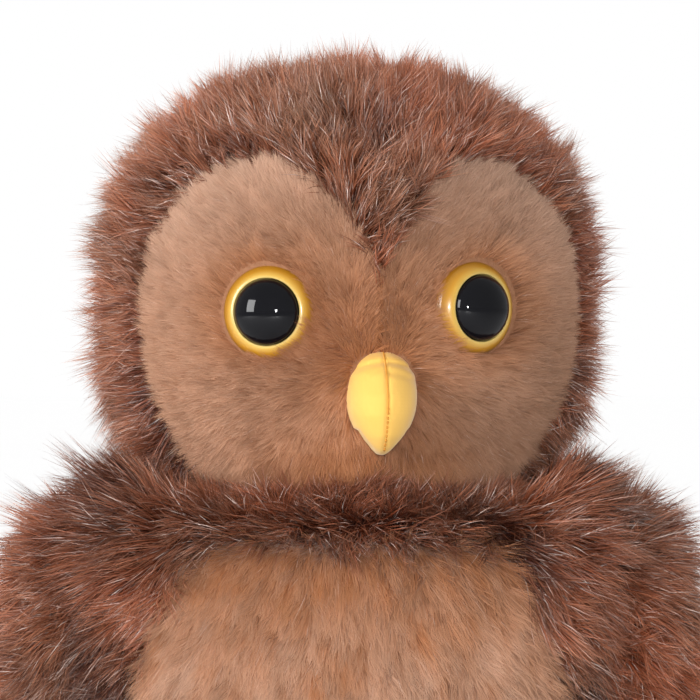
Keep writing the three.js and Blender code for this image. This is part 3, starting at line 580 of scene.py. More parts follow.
def woven_cloth(name, light, deep):
    """Plain woven cotton with a fine over-and-under weave."""
    material, nodes, links, shader = principled(name, Roughness=0.75, Sheen_Weight=0.35)
    coords = add_node(nodes, "TexCoord")
    weave = add_node(nodes, "Math")
    weave.operation = "MULTIPLY"
    for k, direction in enumerate("XZ"):
        wave = add_node(nodes, "TexWave", Scale=900, Distortion=0.6)
        wave.bands_direction = direction
        links.new(coords.outputs["Object"], wave.inputs["Vector"])
        links.new(wave.outputs["Fac"], weave.inputs[k])
    two_tones(nodes, links, shader, noise_node(nodes, links, 55), light, deep)
    bump(nodes, links, shader, weave.outputs["Value"], 0.2, 0.00012)
    return material


def moulded_plastic(name, colour, roughness, metallic=0.0):
    """Injection-moulded plastic or plated metal with a faint grain and small tone changes."""
    material, nodes, links, shader = principled(name, Roughness=roughness, Metallic=metallic)
    colour = np.array(colour)
    pale = np.minimum(colour * 1.08, 1)
    two_tones(nodes, links, shader, noise_node(nodes, links, 40), colour * 0.88, pale)
    bump(nodes, links, shader, noise_node(nodes, links, 1400), 0.12, 0.0002)
    return material


def eye_amber():
    """Glossy amber ring: pale by the pupil, deep at the rim. The radius is stored on each vertex."""
    material, nodes, links, shader = principled("eye_amber", Roughness=0.3, Coat_Weight=0.35,
                                                Coat_Roughness=0.12)
    radius = add_node(nodes, "VertexColor")
    radius.layer_name = "radius"
    tones = add_node(nodes, "ValToRGB")
    stops = [(0.0, (214, 190, 116)), (0.25, (202, 160, 66)), (0.55, (184, 130, 28)), (1.0, (140, 90, 12))]
    while len(tones.color_ramp.elements) < len(stops):
        tones.color_ramp.elements.new(0.5)
    for element, (place, rgb) in zip(tones.color_ramp.elements, stops):
        element.position = place
        element.color = (*linear(*rgb), 1)
    links.new(radius.outputs["Color"], tones.inputs["Fac"])
    links.new(tones.outputs["Color"], shader.inputs["Base Color"])
    return material


def pupil_black():
    material, nodes, links, shader = principled("pupil_black", Roughness=0.03, Specular_IOR_Level=0.22)
    cloud = noise_node(nodes, links, 60)
    two_tones(nodes, links, shader, cloud, (0.002, 0.002, 0.003), (0.006, 0.006, 0.008))
    return material


LONG_FUR = fur_material("long_fur", 0.34, 0.4, 0.0)
SHORT_FUR = fur_material("short_fur", 0.6, 0.25, 0.15)
BROWN_BACKING = plush_backing("brown_backing", linear(30, 14, 10), linear(70, 34, 24))
BEIGE_BACKING = plush_backing("beige_backing", linear(132, 90, 64), linear(160, 116, 88))
CLOTH = woven_cloth("yellow_cloth", linear(252, 212, 104), linear(242, 184, 66))
BEAK_CLOTH = woven_cloth("beak_cloth", linear(236, 192, 96), linear(228, 174, 72))
THREAD = moulded_plastic("yellow_thread", linear(206, 140, 44), 0.7)

# ---- Head ----

# One face disc in mm, as (distance from the seam, height above the head's middle).
DISC_POINTS = [(0, -2), (4, 8.5), (10, 19), (18, 27), (27, 30), (36, 27.5), (46, 20), (52.5, 8.5), (54, -6),
               (51.5, -24), (44.5, -38), (35, -46), (24, -49), (12, -48.2), (4, -45.5), (0, -44), (0, -39),
               (0, -31), (0, -21), (0, -11)]
DISC_LOOP = smooth_closed(np.array(DISC_POINTS) * MM, 120)


def to_head(points):
    """Row-frame points in the head's own frame, which faces -Y and has its middle at the origin."""
    local = rotated(points, -YAW)
    return local - np.array([0, 0, HEAD_CENTRE_Z])


def from_head(points):
    return rotated(points + np.array([0, 0, HEAD_CENTRE_Z]), YAW)


def head_share(z):
    """The head's size at a height above its middle, as a share of its widest."""
    up = np.clip(z / HEAD_HALF_HEIGHT, 0, 1)
    down = np.clip(-z / HEAD_JAW, 0, 1)
    jaw = (1 - down**JAW_FULLNESS) ** (1 / JAW_FULLNESS)
    return np.where(z < 0, jaw, (1 - up**CROWN_FULLNESS) ** (1 / CROWN_FULLNESS))


def head_front(x, z):
    """The head's front surface as a depth for each (x, z) in the head's frame."""
    share = head_share(z) ** 2 - (x / HEAD_HALF_WIDTH) ** 2
    crease = 1.6 * MM * bell(x, 0, 4 * MM) * ramp(z, 8 * MM, -2 * MM)
    return -HEAD_FRONT * np.sqrt(np.maximum(share, 0.02)) + crease


def head_ring(rise, inset, angles):
    """Points round the head at a share of its height from -1 to 1, moved inwards by inset."""
    z = rise * (HEAD_HALF_HEIGHT if rise > 0 else HEAD_JAW)
    share = float(head_share(np.array(z)))
    depth = np.where(np.sin(angles) < 0, HEAD_FRONT, HEAD_BACK) - inset
    return oval(share * (HEAD_HALF_WIDTH - inset), share * depth, z - rise * inset, angles)


def head_skin():
    """Padded shell under the head's fur, open at the neck."""
    angles = circle(112)
    lowest = -(1 - (NECK_RADIUS / HEAD_HALF_WIDTH) ** JAW_FULLNESS) ** (1 / JAW_FULLNESS)
    rises = np.sin(np.linspace(math.asin(lowest), math.pi / 2 - 0.02, 60))
    rings = [head_ring(rise, 0, angles) for rise in rises]
    rings += [head_ring(rise, SKIN, angles) for rise in rises[::-1]]
    faces = ring_faces(len(rings), len(angles), closed=True)
    shell = add_mesh("head_cloth", from_head(np.concatenate(rings)), faces, BROWN_BACKING, "head")
    return stand_in(shell, "head_skin")


# How far a panel's outer and inner face stand out from the skin.
PANEL_FACES = (1.2 * MM, -1.5 * MM)


def panel(name, outline, surface, rings, body):
    """A closed pad of beige backing inside an outline. surface(x, z, out) is the skin moved out."""
    centre = outline.mean(axis=0)
    verts = []
    for out in PANEL_FACES:
        for r in range(1, rings + 1):
            ring = centre + (outline - centre) * (r / rings)
            verts.append(surface(ring[:, 0], ring[:, 1], out))
    verts += [surface(centre[:1], centre[1:], out) for out in PANEL_FACES]
    return add_solid(name, np.concatenate(verts), pad_faces(rings, len(outline)), BEIGE_BACKING, body)


def evaluated_mesh(obj):
    """A new mesh with the object's modifiers applied at the current frame."""
    depsgraph = bpy.context.evaluated_depsgraph_get()
    return bpy.data.meshes.new_from_object(obj.evaluated_get(depsgraph))


def apply_modifiers(obj):
    mesh = evaluated_mesh(obj)
    obj.modifiers.clear()
    obj.data = mesh


# Cloth this small hardly moves at Blender's usual pressures. This one swells a foot by 1 to 2 mm.
STUFFING_PRESSURE = 3000


def puff(obj, voxel, cap, sewn=None):
    """Inflates a closed cloth piece by cloth simulation. Points picked by sewn(points) are held, and no
    point moves further than cap."""
    remesh = obj.modifiers.new("remesh", "REMESH")
    remesh.mode = "VOXEL"
    remesh.voxel_size = voxel
    remesh.use_smooth_shade = True
    apply_modifiers(obj)
    rest = points_of(obj.data)
    cloth = obj.modifiers.new("cloth", "CLOTH")
    cloth.settings.use_pressure = True
    cloth.settings.uniform_pressure_force = STUFFING_PRESSURE
    cloth.settings.effector_weights.gravity = 0
    if sewn is not None:
        group = obj.vertex_groups.new(name="sewn")
        group.add([int(i) for i in np.flatnonzero(sewn(rest))], 1.0, "REPLACE")
        cloth.settings.vertex_group_mass = "sewn"
    for step in range(1, 21):
        bpy.context.scene.frame_set(step)
    move = points_of(evaluated_mesh(obj)) - rest
    distance = np.linalg.norm(move, axis=1, keepdims=True)
    obj.modifiers.clear()
    set_points(obj, rest + move * np.minimum(1, cap / np.maximum(distance, 1e-9)))
    finer = obj.modifiers.new("finer", "SUBSURF")
    finer.levels = 1
    apply_modifiers(obj)
    bpy.context.scene.frame_set(1)
    return obj


def face_disc(side, name):
    def surface(x, z, out):
        return from_head(np.stack([x, head_front(x, z) - out, z], axis=1))

    outline = DISC_LOOP * np.array([side, 1]) + np.array([side * 0.3 * MM, 0])
    disc = panel(f"face_cloth_{name}", outline, surface, 14, "head")
    return stand_in(disc, f"face_disc_{name}")


TOE_OUT = {"left": math.radians(23), "right": math.radians(29)}
WASHER_DEPTH = 15 * MM


def eye_frame(name, side):
    """Origin and axes of an eye: its base on the face, and its outward direction."""
    toe = YAW + side * TOE_OUT[name]
    out = np.array([math.sin(toe), -math.cos(toe), 0])
    across = np.array([math.cos(toe), math.sin(toe), 0])
    return middle(f"eye_washer_{name}") + out * WASHER_DEPTH, across, out


def turned(name, profile, base, across, out, material):
    """A lathe piece of the head about an eye's axis, from (radius, height) points in mm."""
    a = circle(72)[:, None]
    round_axis = np.cos(a) * across + np.sin(a) * np.array([0, 0, 1.0])
    verts = np.concatenate([base + out * h + r * round_axis for r, h in np.array(profile) * MM])
    return add_solid(name, verts, capped_faces(len(profile), len(a)), material, "head")


EYE_RADIUS = 12 * MM
PUPIL_RADIUS = 8.35 * MM
# Profiles of the eye ring and the pupil in mm, as (radius, height over the eye's base).
RING_STEM = [(2.5, -17), (2.5, -1.6), (11.5, -1.5)]
RING_RIM = [(12 - 0.5 * (1 - math.cos(a)), -0.4 + 0.9 * math.sin(a)) for a in np.linspace(-1.2, 1.2, 8)]
RING_DOME = [(12 - 3.4 * s, 0.6 + 2.6 * math.sin(s * math.pi / 2)) for s in np.linspace(0.1, 1, 14)]
RING_SEAT = [(8.55, 2.9), (8.5, 1.2), (0.3, 1.1)]
PUPIL_EDGE = [(0.3, 1.3), (8.2, 1.3), (8.35, 1.6), (8.35, 2.6)]
PUPIL_DOME = [(8.35 * math.cos(a), 2.6 + 5.0 * math.sin(a)) for a in np.linspace(0.06, 1.53, 26)]


def eye(name, side, amber, black):
    """A ring with its stem, and a pupil dome in it. The ring's colour follows a stored radius."""
    base, across, out = eye_frame(name, side)
    ring = RING_STEM + RING_RIM + RING_DOME + RING_SEAT
    iris = turned(f"eye_ring_{name}", ring, base, across, out, amber)
    offset = points_of(iris.data) - base
    radius = np.linalg.norm(offset - (offset @ out)[:, None] * out, axis=1)
    share = ramp(radius, PUPIL_RADIUS, EYE_RADIUS)
    layer = iris.data.color_attributes.new("radius", "FLOAT_COLOR", "POINT")
    layer.data.foreach_set("color", np.repeat(share, 4).astype(np.float32))
    stand_in(iris, f"eye_{name}")
    pupil = turned(f"pupil_dome_{name}", PUPIL_EDGE + PUPIL_DOME, base, across, out, black)
    stand_in(pupil, f"pupil_{name}")


BEAK_LENGTH = 27 * MM
BEAK_HALF_WIDTH = 8.9 * MM
BEAK_DEPTH = 12 * MM
BEAK_TOP = box_of("beak")[1][2]
BEAK_Y = -46 * MM
BEAK_SHIFT = np.array([1.2 * MM, 0, 1.0 * MM])
# Share of half width, and share of depth, down from the top of the beak.
BEAK_WIDTHS = [(0, 0.02), (0.02, 0.3), (0.06, 0.54), (0.13, 0.77), (0.24, 0.94), (0.38, 1.0), (0.52, 1.0),
               (0.64, 0.92), (0.76, 0.76), (0.86, 0.56), (0.94, 0.35), (0.98, 0.2), (1, 0.02)]
BEAK_DEPTHS = [(0, 0.02), (0.03, 0.3), (0.1, 0.56), (0.25, 0.83), (0.45, 1), (0.62, 0.98), (0.82, 0.74),
               (0.94, 0.46), (0.985, 0.26), (1, 0.02)]


def along_beak(shares, t):
    places, values = zip(*shares)
    return np.interp(t, places, values)


def beak_place(x, y, t):
    """A point of the beak from its sideways and forward distances, and its share of the way down."""
    place = np.stack([x, BEAK_Y - y, BEAK_TOP - BEAK_LENGTH * t + 0 * x], axis=1)
    return rotated(place + BEAK_SHIFT, YAW)


def beak():
    """Stuffed cloth beak: two side panels sewn down the middle of the front, and a panel underneath."""
    a = circle(72)
    rings = []
    for t in np.linspace(0, 1, 60):
        x = BEAK_HALF_WIDTH * along_beak(BEAK_WIDTHS, t) * np.sin(a)
        reach = np.where(np.cos(a) > 0, 1.0, 0.6)
        y = BEAK_DEPTH * along_beak(BEAK_DEPTHS, t) * np.cos(a) * reach
        rings.append(beak_place(x, y, t))
    faces = capped_faces(len(rings), len(a))
    piece = add_solid("beak_cloth", np.concatenate(rings), faces, BEAK_CLOTH)
    puff(piece, 0.9 * MM, 0.9 * MM, beak_seams)
    crease_beak(piece)
    stand_in(piece, "beak", "head")
    beak_stitches()


def beak_local(points):
    """Sideways, forward and share of the way down for points on the beak."""
    local = rotated(points, -YAW) - BEAK_SHIFT
    return local[:, 0], BEAK_Y - local[:, 1], (BEAK_TOP - local[:, 2]) / BEAK_LENGTH


def beak_seams(points):
    """Points on the front seam, and on the two seams that join the underside."""
    x, y, _ = beak_local(points)
    front = (np.abs(x) < 0.5 * MM) & (y > 0)
    below = (y < 0.5 * MM) & (y > -1 * MM)
    return front | below


def crease_beak(piece):
    """Presses in the front seam, two puckers below the top, and the step where the underside starts."""
    points = points_of(piece.data)
    x, y, t = beak_local(points)
    front = ramp(y, 0, 3 * MM)
    seam = 0.45 * MM * bell(x, 0, 0.5 * MM) * front
    arc = 0.13 + 0.1 * (x / BEAK_HALF_WIDTH) ** 2
    pucker = 0.8 * MM * bell(t, arc, 0.028) * front
    pucker += 0.45 * MM * bell(t, arc + 0.1, 0.035) * front * (x > 0)
    step = 0.8 * MM * ramp(t, 0.74, 0.765) * ramp(np.abs(x), 0, 4 * MM) * ramp(y, 5 * MM, 2 * MM)
    inward = np.stack([-np.sign(x) * step, seam + pucker, 0 * x], axis=1)
    set_points(piece, points + rotated(inward, YAW))


def beak_stitches():
    """Running stitches down the lower half of the front seam, and the plain seam line above them."""
    def on_seam(t, out):
        y = BEAK_DEPTH * along_beak(BEAK_DEPTHS, t)
        return beak_place(np.zeros(1), np.array([y + out]), t)[0]

    line = np.array([on_seam(t, -0.25 * MM) for t in np.linspace(0.03, 0.6, 40)])
    threads = [tube(line, 0.17 * MM)]
    for t in np.arange(0.55, 0.95, 0.042):
        threads.append(tube(np.array([on_seam(t + d, 0.05 * MM) for d in (0, 0.01, 0.021)]), 0.24 * MM))
    add_solid("beak_thread", *merged(threads), THREAD, "head")


def tube(line, radius, sides=8):
    """Points and faces of a closed tube along a line."""
    along = unit(np.gradient(line, axis=0))
    other_way = [0.3, 0.2, 1.0] if abs(along[0][2]) < 0.9 else [1.0, 0, 0]
    across = unit(np.cross(along, np.array(other_way)))
    other = np.cross(along, across)
    a = circle(sides)[None, :, None]
    spread = across[:, None] * np.cos(a) + other[:, None] * np.sin(a)
    return (line[:, None] + radius * spread).reshape(-1, 3), capped_faces(len(line), sides)


def merged(pieces):
    """Several (points, faces) pairs as one."""
    verts, faces, offset = [], [], 0
    for points, polygons in pieces:
        verts.append(points)
        faces += [tuple(i + offset for i in polygon) for polygon in polygons]
        offset += len(points)
    return np.concatenate(verts), faces


def in_disc(local, grow_by=0.0):
    """Which points in the head's frame are on a face disc."""
    loop = DISC_LOOP * (1 + grow_by)
    return inside(np.abs(local[:, 0]), local[:, 2], loop) & (local[:, 1] < 5 * MM)


EYE_BASES = {name: eye_frame(name, side) for name, side in SIDES.items()}


def clear_of_eyes(points):
    """Off the eye rings. The pile laps over the inner and lower side of each ring."""
    clear = np.ones(len(points), bool)
    for name, (base, across, out) in EYE_BASES.items():
        offset = points - base
        radial = offset - (offset @ out)[:, None] * out
        distance = np.linalg.norm(radial, axis=1)
        inwards = -SIDES[name] * (radial @ across) / distance
        lap = np.clip(0.5 + inwards - 0.5 * radial[:, 2] / distance, 0, 1)
        clear &= distance > EYE_RADIUS + (0.7 - 1.1 * lap) * MM
    return clear


def clear_of_beak(points):
    """Away from where the beak rests on the face. Its tip stands clear of the pile."""
    x, _, t = beak_local(points)
    covered = np.abs(x) < BEAK_HALF_WIDTH * along_beak(BEAK_WIDTHS, t.clip(0, 1)) - 0.2 * MM
    return ~(covered & (t > 0.07) & (t < 0.72) & (to_head(points)[:, 1] < 0))


def head_comb(points):
    """The long pile sweeps up and away from the face, and falls down the back of the head."""
    local = to_head(points)
    cheek = ramp(local[:, 2], -12 * MM, -37 * MM)
    up = local[:, 2] + 20 * MM * (1 - cheek)
    away = np.stack([local[:, 0] * (1 + 0.4 * cheek), np.full(len(local), 18 * MM), up], axis=1)
    back = ramp(local[:, 1], -5 * MM, 30 * MM)[:, None]
    down = np.array([0, 0.2, -1.0]) * 60 * MM
    return rotated(away * (1 - back) + down * back, YAW)


def head_dark(points):
    """Dark patches on the forehead's middle, darker pile round the discs, and painted shade under the
    cheeks.
    """
    x, y, z = to_head(points).T / MM
    brow = 0.7 * bell(x, 2, 9) * bell(z, 27, 16) + 0.45 * bell(x, 26, 10) * bell(z, 38, 7)
    near_disc = 0.45 * in_disc(to_head(points), 0.11)
    # Painted shade: the head's pile is painted darker lower down, under the cheeks.
    low = 0.5 * ramp(z, -18, -36)
    patches = np.clip(0.75 + 0.6 * ripple(points, 16 * MM, 5), 0, 1)
    return np.clip((brow + near_disc + low) * ramp(y, 15, -15) + 0.1, 0, 1) * patches


def head_fur(shell):
    rng = np.random.default_rng(11)

    def keep(points, normals):
        local = to_head(points)
        reach = local / np.array([HEAD_HALF_WIDTH, HEAD_BACK, HEAD_HALF_HEIGHT])
        outer = np.linalg.norm(reach, axis=1) > 0.86
        return outer & ((normals * local).sum(axis=1) > 0) & ~in_disc(local)

    def length_at(where):
        """Longer on the cheeks, shorter right above the discs."""
        x, _, z = to_head(where).T / MM
        cheek = ramp(z, -8, -33) * ramp(np.abs(x), 30, 45)
        return 1 + 0.35 * cheek - 0.3 * in_disc(to_head(where), 0.06)

    points, normals = scatter(shell, 5.0, rng, keep)
    style = {**LONG_PILE, "seed": 21, "lean": 0.42, "length_at": length_at}
    grow("head_fur", points, normals, head_comb(points), style, brown_palette(head_dark), LONG_FUR,
         riding("head"))


# An eye's place on its disc and its radius in mm: distance from the seam, height, radius.
EYE_X, EYE_Z, EYE_R = 27, -6.5, 12


def disc_fur(disc, side, name):
    """Short dense pile that spreads from the bridge above the beak."""
    rng = np.random.default_rng(31 + side)

    def keep(points, normals):
        facing = rotated(normals, -YAW)[:, 1] < 0.3
        return facing & clear_of_eyes(points) & clear_of_beak(points) & in_disc(to_head(points), 0.02)

    def of_face(where):
        """Distance from the seam and height in mm, and distance from the eye ring in mm."""
        x, _, z = to_head(where).T / MM
        return np.abs(x), z, np.hypot(np.abs(x) - EYE_X, z - EYE_Z) - EYE_R

    def orange_and_warm_shade(where):
        """Orange round the beak, the eye, the chin and the seam. Round the beak it is painted yellow
        reflected from the beak and painted warm shade; round the eye it is painted shade of the socket.
        """
        x, z, from_eye = of_face(where)
        by_beak = 0.5 * bell(x, 3, 15) * bell(z, -20, 22)
        chin = 0.8 * ramp(z, -32, -44) * bell(x, 6, 20)
        seam = 0.5 * bell(x, 0, 1.3) * (z < 2)
        return np.clip(0.1 + by_beak + 0.3 * bell(from_eye, 0, 3.5) + chin + seam, 0, 1)

    def frost(where):
        x, z, _ = of_face(where)
        return np.clip(np.hypot(x - 20, z + 8) / 24 - 0.7, 0, 1) * np.clip(0.6 + z / 40, 0.2, 1)

    def depth(where):
        """Painted shade: the right disc's pile, which lies away from the light, is painted darker, more so
        lower down, and so is the pile under the beak.
        """
        x, z, _ = of_face(where)
        right = 0.13 + 0.13 * ramp(z, 6, -24)
        return (right if side > 0 else 0.02) + 0.2 * ramp(z, -34, -44) * bell(x, 4, 16)

    def length_at(where):
        """Short above the eye, long at the chin."""
        x, z, from_eye = of_face(where)
        above_eye = (from_eye < 4) & (z > -8) & (x < EYE_X)
        return np.where(above_eye, 0.6, 1.0) * np.where(z < -40, 1.3, 1.0)

    points, normals = scatter(disc, 13, rng, keep)
    local = to_head(points)
    chin = ramp(local[:, 2], -30 * MM, -44 * MM)[:, None]
    normals = unit(normals + 0.7 * chin * np.array([math.sin(YAW), -math.cos(YAW), 0]))
    comb = np.stack([local[:, 0] - side * 2 * MM, 0 * local[:, 1], local[:, 2] + 22 * MM], axis=1)
    style = {**SHORT_PILE, "seed": 41 + side, "length_at": length_at}
    grow(f"face_fur_{name}", points, normals, rotated(comb, YAW), style,
         beige_palette(orange_and_warm_shade, frost, depth), SHORT_FUR, riding("head"))


# ---- Body ----


def body_rings(inset, count):
    """Half widths and heights of the body's side."""
    profile = smooth_open(BODY_PROFILE, count)
    width = profile[:, 0] * BODY_HALF_WIDTH - inset
    height = BODY_LOW[2] + profile[:, 1] * (BODY_HIGH[2] - BODY_LOW[2])
    return width, height


BODY_W, BODY_Z = body_rings(0, 80)


def body_width_at(z):
    return np.interp(z, BODY_Z, BODY_W)


SHOULDER_RISE = 5 * MM


def body_skin():
    """Padded shell under the body's fur, with shoulders raised to meet the wings."""
    angles = circle(128)
    outer = list(zip(*body_rings(0, 60)))
    inner = [(max(w - SKIN, 5 * MM), min(z, BODY_HIGH[2] - SKIN)) for w, z in reversed(outer)]
    verts = np.concatenate([oval(w, BODY_DEPTH * w, z, angles) for w, z in outer + inner])
    verts[:, 2] += SHOULDER_RISE * shoulder_share(verts)
    faces = ring_faces(len(outer) + len(inner), len(angles), closed=True)
    shell = add_mesh("body_cloth", verts, faces, BROWN_BACKING, "torso")
    return stand_in(shell, "body_skin")


# Half of the belly panel in mm, as (distance from the middle, height).
BELLY_HALF = [(0, 131.5), (24, 131.5), (37, 129), (44, 118), (51, 101), (56, 80), (53, 52), (39, 30),
              (18, 20), (0, 18)]
BELLY_POINTS = BELLY_HALF + [(-x, z) for x, z in BELLY_HALF[-2:0:-1]]
BELLY_LOOP = smooth_closed(np.array(BELLY_POINTS) * MM, 120)


def body_front(x, z):
    """Y of the body's front surface at (x, z)."""
    return -BODY_DEPTH * np.sqrt(np.maximum(body_width_at(z) ** 2 - x**2, (5 * MM) ** 2))


def belly():
    def surface(x, z, out):
        return np.stack([x, body_front(x, z) - out, z], axis=1)

    return stand_in(panel("belly_cloth", BELLY_LOOP, surface, 16, "torso"), "belly_panel")


def in_belly(points):
    return inside(points[:, 0], points[:, 2], BELLY_LOOP) & (points[:, 1] < 0)


def body_comb(points):
    """The pile leaves the neck and the belly outwards, then falls."""
    fall = np.clip((points[:, 2] - 145 * MM) * 1.1, -1, 0)
    return np.stack([points[:, 0], 0.6 * points[:, 1], fall], axis=1)


def shoulder_share(points):
    """How much a point belongs to the top of a shoulder, 0 to 1."""
    return ramp(points[:, 2], 116 * MM, 130 * MM) * ramp(np.abs(points[:, 0]), 38 * MM, 52 * MM)


def brown_style(seed, length, lean, stray, hidden):
    """Style of the long pile on body and wings. It stands up on the shoulders, and is short and flat
    where hidden(points) says that it is covered at rest."""
    return {**LONG_PILE, "seed": seed, "length": length, "width": 0.25 * MM, "lean": lean, "stray": stray,
            "length_at": lambda p: (1 + 0.3 * shoulder_share(p)) * np.where(hidden(p), 0.4, 1),
            "lean_at": lambda p: (1 - 0.45 * shoulder_share(p)) * np.where(hidden(p), 1.5, 1)}


def behind_wing(points):
    """The part of each side that a wing covers."""
    centre = WING_LOOP.mean(axis=0)
    covered = inside(points[:, 1], points[:, 2], centre + (WING_LOOP - centre) * 0.86)
    return covered & (np.abs(points[:, 0]) > 50 * MM)


def body_dark(points):
    """Painted shade under the neck, darker pile beside the belly, and dark patches here and there. The
    right shoulder is painted lighter, as if lit.
    """
    x, y, z = (points / MM).T
    # Painted shade under the head.
    neck = 0.4 * bell(z, 134, 7)
    edge = 0.45 * bell(np.abs(x), 55, 6) * ramp(z, 40, 100) * (y < 0)
    patch = np.clip(ripple(points, 26 * MM, 8) - 0.2, 0, 1) * 0.9
    # Painted light: fewer dark strands on the top of the right shoulder, as if lit.
    lit = 1 - 0.4 * ramp(x, 35, 50) * ramp(z, 90, 110)
    return np.clip((neck + edge + patch + 0.08) * lit, 0, 1)


def body_fur(shell):
    rng = np.random.default_rng(51)

    def keep(points, normals):
        outer = (normals[:, :2] * points[:, :2]).sum(axis=1) + normals[:, 2] * 0.01 > 0
        low = points[:, 2] > BODY_LOW[2] + 1.5 * MM
        thin = behind_wing(points) & (rng.random(len(points)) > 0.5)
        return outer & low & ~in_belly(points) & ~thin

    points, normals = scatter(shell, 3.6, rng, keep)
    style = brown_style(61, 12 * MM, 0.7, 0.55, behind_wing)
    grow("body_fur", points, normals, body_comb(points), style, brown_palette(body_dark), LONG_FUR,
         riding("torso"))


def belly_fur(cloth):
    """Short pile that falls straight, in faint upright streaks."""
    rng = np.random.default_rng(71)

    def keep(points, normals):
        return (normals[:, 1] < 0.1) & (points[:, 1] < body_front(points[:, 0], points[:, 2]))

    def streaks(where, seed):
        """A ripple drawn out along Z."""
        return ripple(where * np.array([1, 1, 0.14]), 2.4 * MM, seed)

    # The top of the belly is painted more orange, as painted warm shade under the collar; the rest is the
    # pile's own tone in streaks.
    def orange_and_warm_shade(where):
        top = ramp(where[:, 2], 108 * MM, 130 * MM)
        return np.clip(0.22 + 0.3 * top + 0.16 * streaks(where, 3), 0, 1)

    def frost(where):
        pale = 0.25 + 0.2 * ripple(where, 30 * MM, 4) + 0.2 * streaks(where, 5)
        return np.clip(pale, 0, 1) * ramp(where[:, 2], 122 * MM, 106 * MM)

    # Painted shade: the top of the belly, under the collar, is painted darker; the streaks are the pile's
    # own tone.
    def depth(where):
        return 0.05 + 0.06 * ramp(where[:, 2], 112 * MM, 127 * MM) + 0.06 * streaks(where, 9)

    points, normals = scatter(cloth, 7.0, rng, keep)
    comb = np.stack([points[:, 0] * 0.35, 0 * points[:, 1], np.full(len(points), -50 * MM)], axis=1)
    style = {**SHORT_PILE, "seed": 81, "length": 7.5 * MM, "width": 0.22 * MM, "clumping": 0.2,
             "swirl": 0.12}
    grow("belly_fur", points, normals, comb, style, beige_palette(orange_and_warm_shade, frost, depth), SHORT_FUR,
         riding("torso"))


# ---- Neck collar ----


COLLAR_RADIUS = 40 * MM
COLLAR_THICKNESS = 8 * MM
COLLAR_DIP = 2.2 * MM
COLLAR_LOW, COLLAR_HIGH = (corner[2] for corner in box_of("neck_collar"))
COLLAR_Z = (COLLAR_LOW + COLLAR_HIGH) / 2
COLLAR_SECTION = 24
SLEEVE_OUTER = 31.3 * MM
SLEEVE_INNER = 30.9 * MM


def blend_neck(piece):
    """Bakes the place of a collar piece into its mesh."""
    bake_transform(piece)
    return piece


def between_discs(x):
    """Where the face's two discs meet over the collar, 0 to 1."""
    return bell(x, 6 * MM, 7 * MM)


def collar():
    """The fold of long pile between head and body. It dips under each face disc."""
    angles = circle(96)
    gap = between_discs(COLLAR_RADIUS * np.cos(angles))
    dip = COLLAR_DIP * np.clip(-1.3 * np.sin(angles), 0, 1) * (1 - 0.8 * gap)
    rings = []
    for b in circle(COLLAR_SECTION):
        r = COLLAR_RADIUS + COLLAR_THICKNESS * math.cos(b)
        height = COLLAR_Z - dip + (COLLAR_HIGH - COLLAR_LOW) / 2 * math.sin(b)
        rings.append(oval(r, 0.92 * r, height, angles))
    faces = ring_faces(COLLAR_SECTION, len(angles), closed=True)
    piece = add_solid("collar_cloth", np.concatenate(rings), faces, BROWN_BACKING)
    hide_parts("neck_collar")
    collar_fur(piece)
    blend_neck(piece)
    blend_neck(neck_sleeve())


def collar_fur(piece):
    """Long pile that hangs down. It is short on top, but longer between the discs."""
    rng = np.random.default_rng(91)

    def keep(points, normals):
        outward = (normals[:, :2] * points[:, :2]).sum(axis=1) > -0.012
        return outward & (normals[:, 2] > -0.9)

    def length_at(where):
        return np.where(where[:, 2] > COLLAR_Z, 0.38 + 0.3 * between_discs(where[:, 0]), 1)

    points, normals = scatter(piece, 5.0, rng, keep)
    comb = np.stack([points[:, 0] * 1.3, points[:, 1], np.full(len(points), -30 * MM)], axis=1)
    style = {**LONG_PILE, "seed": 92, "length": 10.5 * MM, "lean": 0.85, "lean_spread": 0.3, "stray": 0.6,
             "length_at": length_at}
    shade = brown_palette(lambda p: np.clip(0.3 + 0.5 * ripple(p, 18 * MM, 6), 0, 1))
    grow("collar_fur", points, normals, comb, style, shade, LONG_FUR, blend_neck)


def neck_sleeve():
    """A thin cloth tube behind the collar that closes the gap under the head."""
    angles = circle(72)
    heights = np.linspace(COLLAR_Z, COLLAR_Z + 9 * MM, 6)
    section = [(SLEEVE_OUTER, z) for z in heights] + [(SLEEVE_INNER, z) for z in heights[::-1]]
    verts = np.concatenate([oval(r, r, z, angles) for r, z in section])
    faces = ring_faces(len(section), len(angles), closed=True)
    return add_solid("neck_sleeve", verts, faces, BROWN_BACKING)


# ---- Wings, tail and feet ----

# Outline of a wing in mm, as (Y, Z).
WING_POINTS = [(2, 133), (17, 129.5), (30, 114), (37, 93), (39, 70), (36, 49), (28, 34), (17, 29), (5, 37),
               (-8, 52), (-20, 73), (-27, 94), (-25, 113), (-13, 129.5)]
WING_LOOP = smooth_closed(np.array(WING_POINTS) * MM, 80)
WING_GAP = 2 * MM
WING_RIM = 0.5 * MM
WING_SWELL = 15 * MM
WING_RINGS = 14


def body_side(y, z):
    """The body's half width at (y, z)."""
    return np.sqrt(np.maximum(body_width_at(z) ** 2 - (y / BODY_DEPTH) ** 2, (5 * MM) ** 2))


def wing_points(side):
    """Points of a wing's pad: a flat face along the body, and a swollen face outside."""
    centre = WING_LOOP.mean(axis=0)
    layers, middles = [], []
    for outer in (False, True):
        for share in np.arange(1, WING_RINGS + 1) / WING_RINGS:
            loop = centre + (WING_LOOP - centre) * share
            swell = WING_RIM + (WING_SWELL - WING_RIM) * math.sqrt(1 - 0.999 * share**2.4) if outer else 0
            x = body_side(loop[:, 0], loop[:, 1]) + WING_GAP + swell
            layers.append(np.stack([side * x, loop[:, 0], loop[:, 1]], axis=1))
        x = body_side(*centre) + WING_GAP + (WING_SWELL if outer else 0)
        middles.append([[side * x, *centre]])
    verts = np.concatenate(layers + middles)
    verts[:, 2] += 0.8 * SHOULDER_RISE * shoulder_share(verts)
    return verts


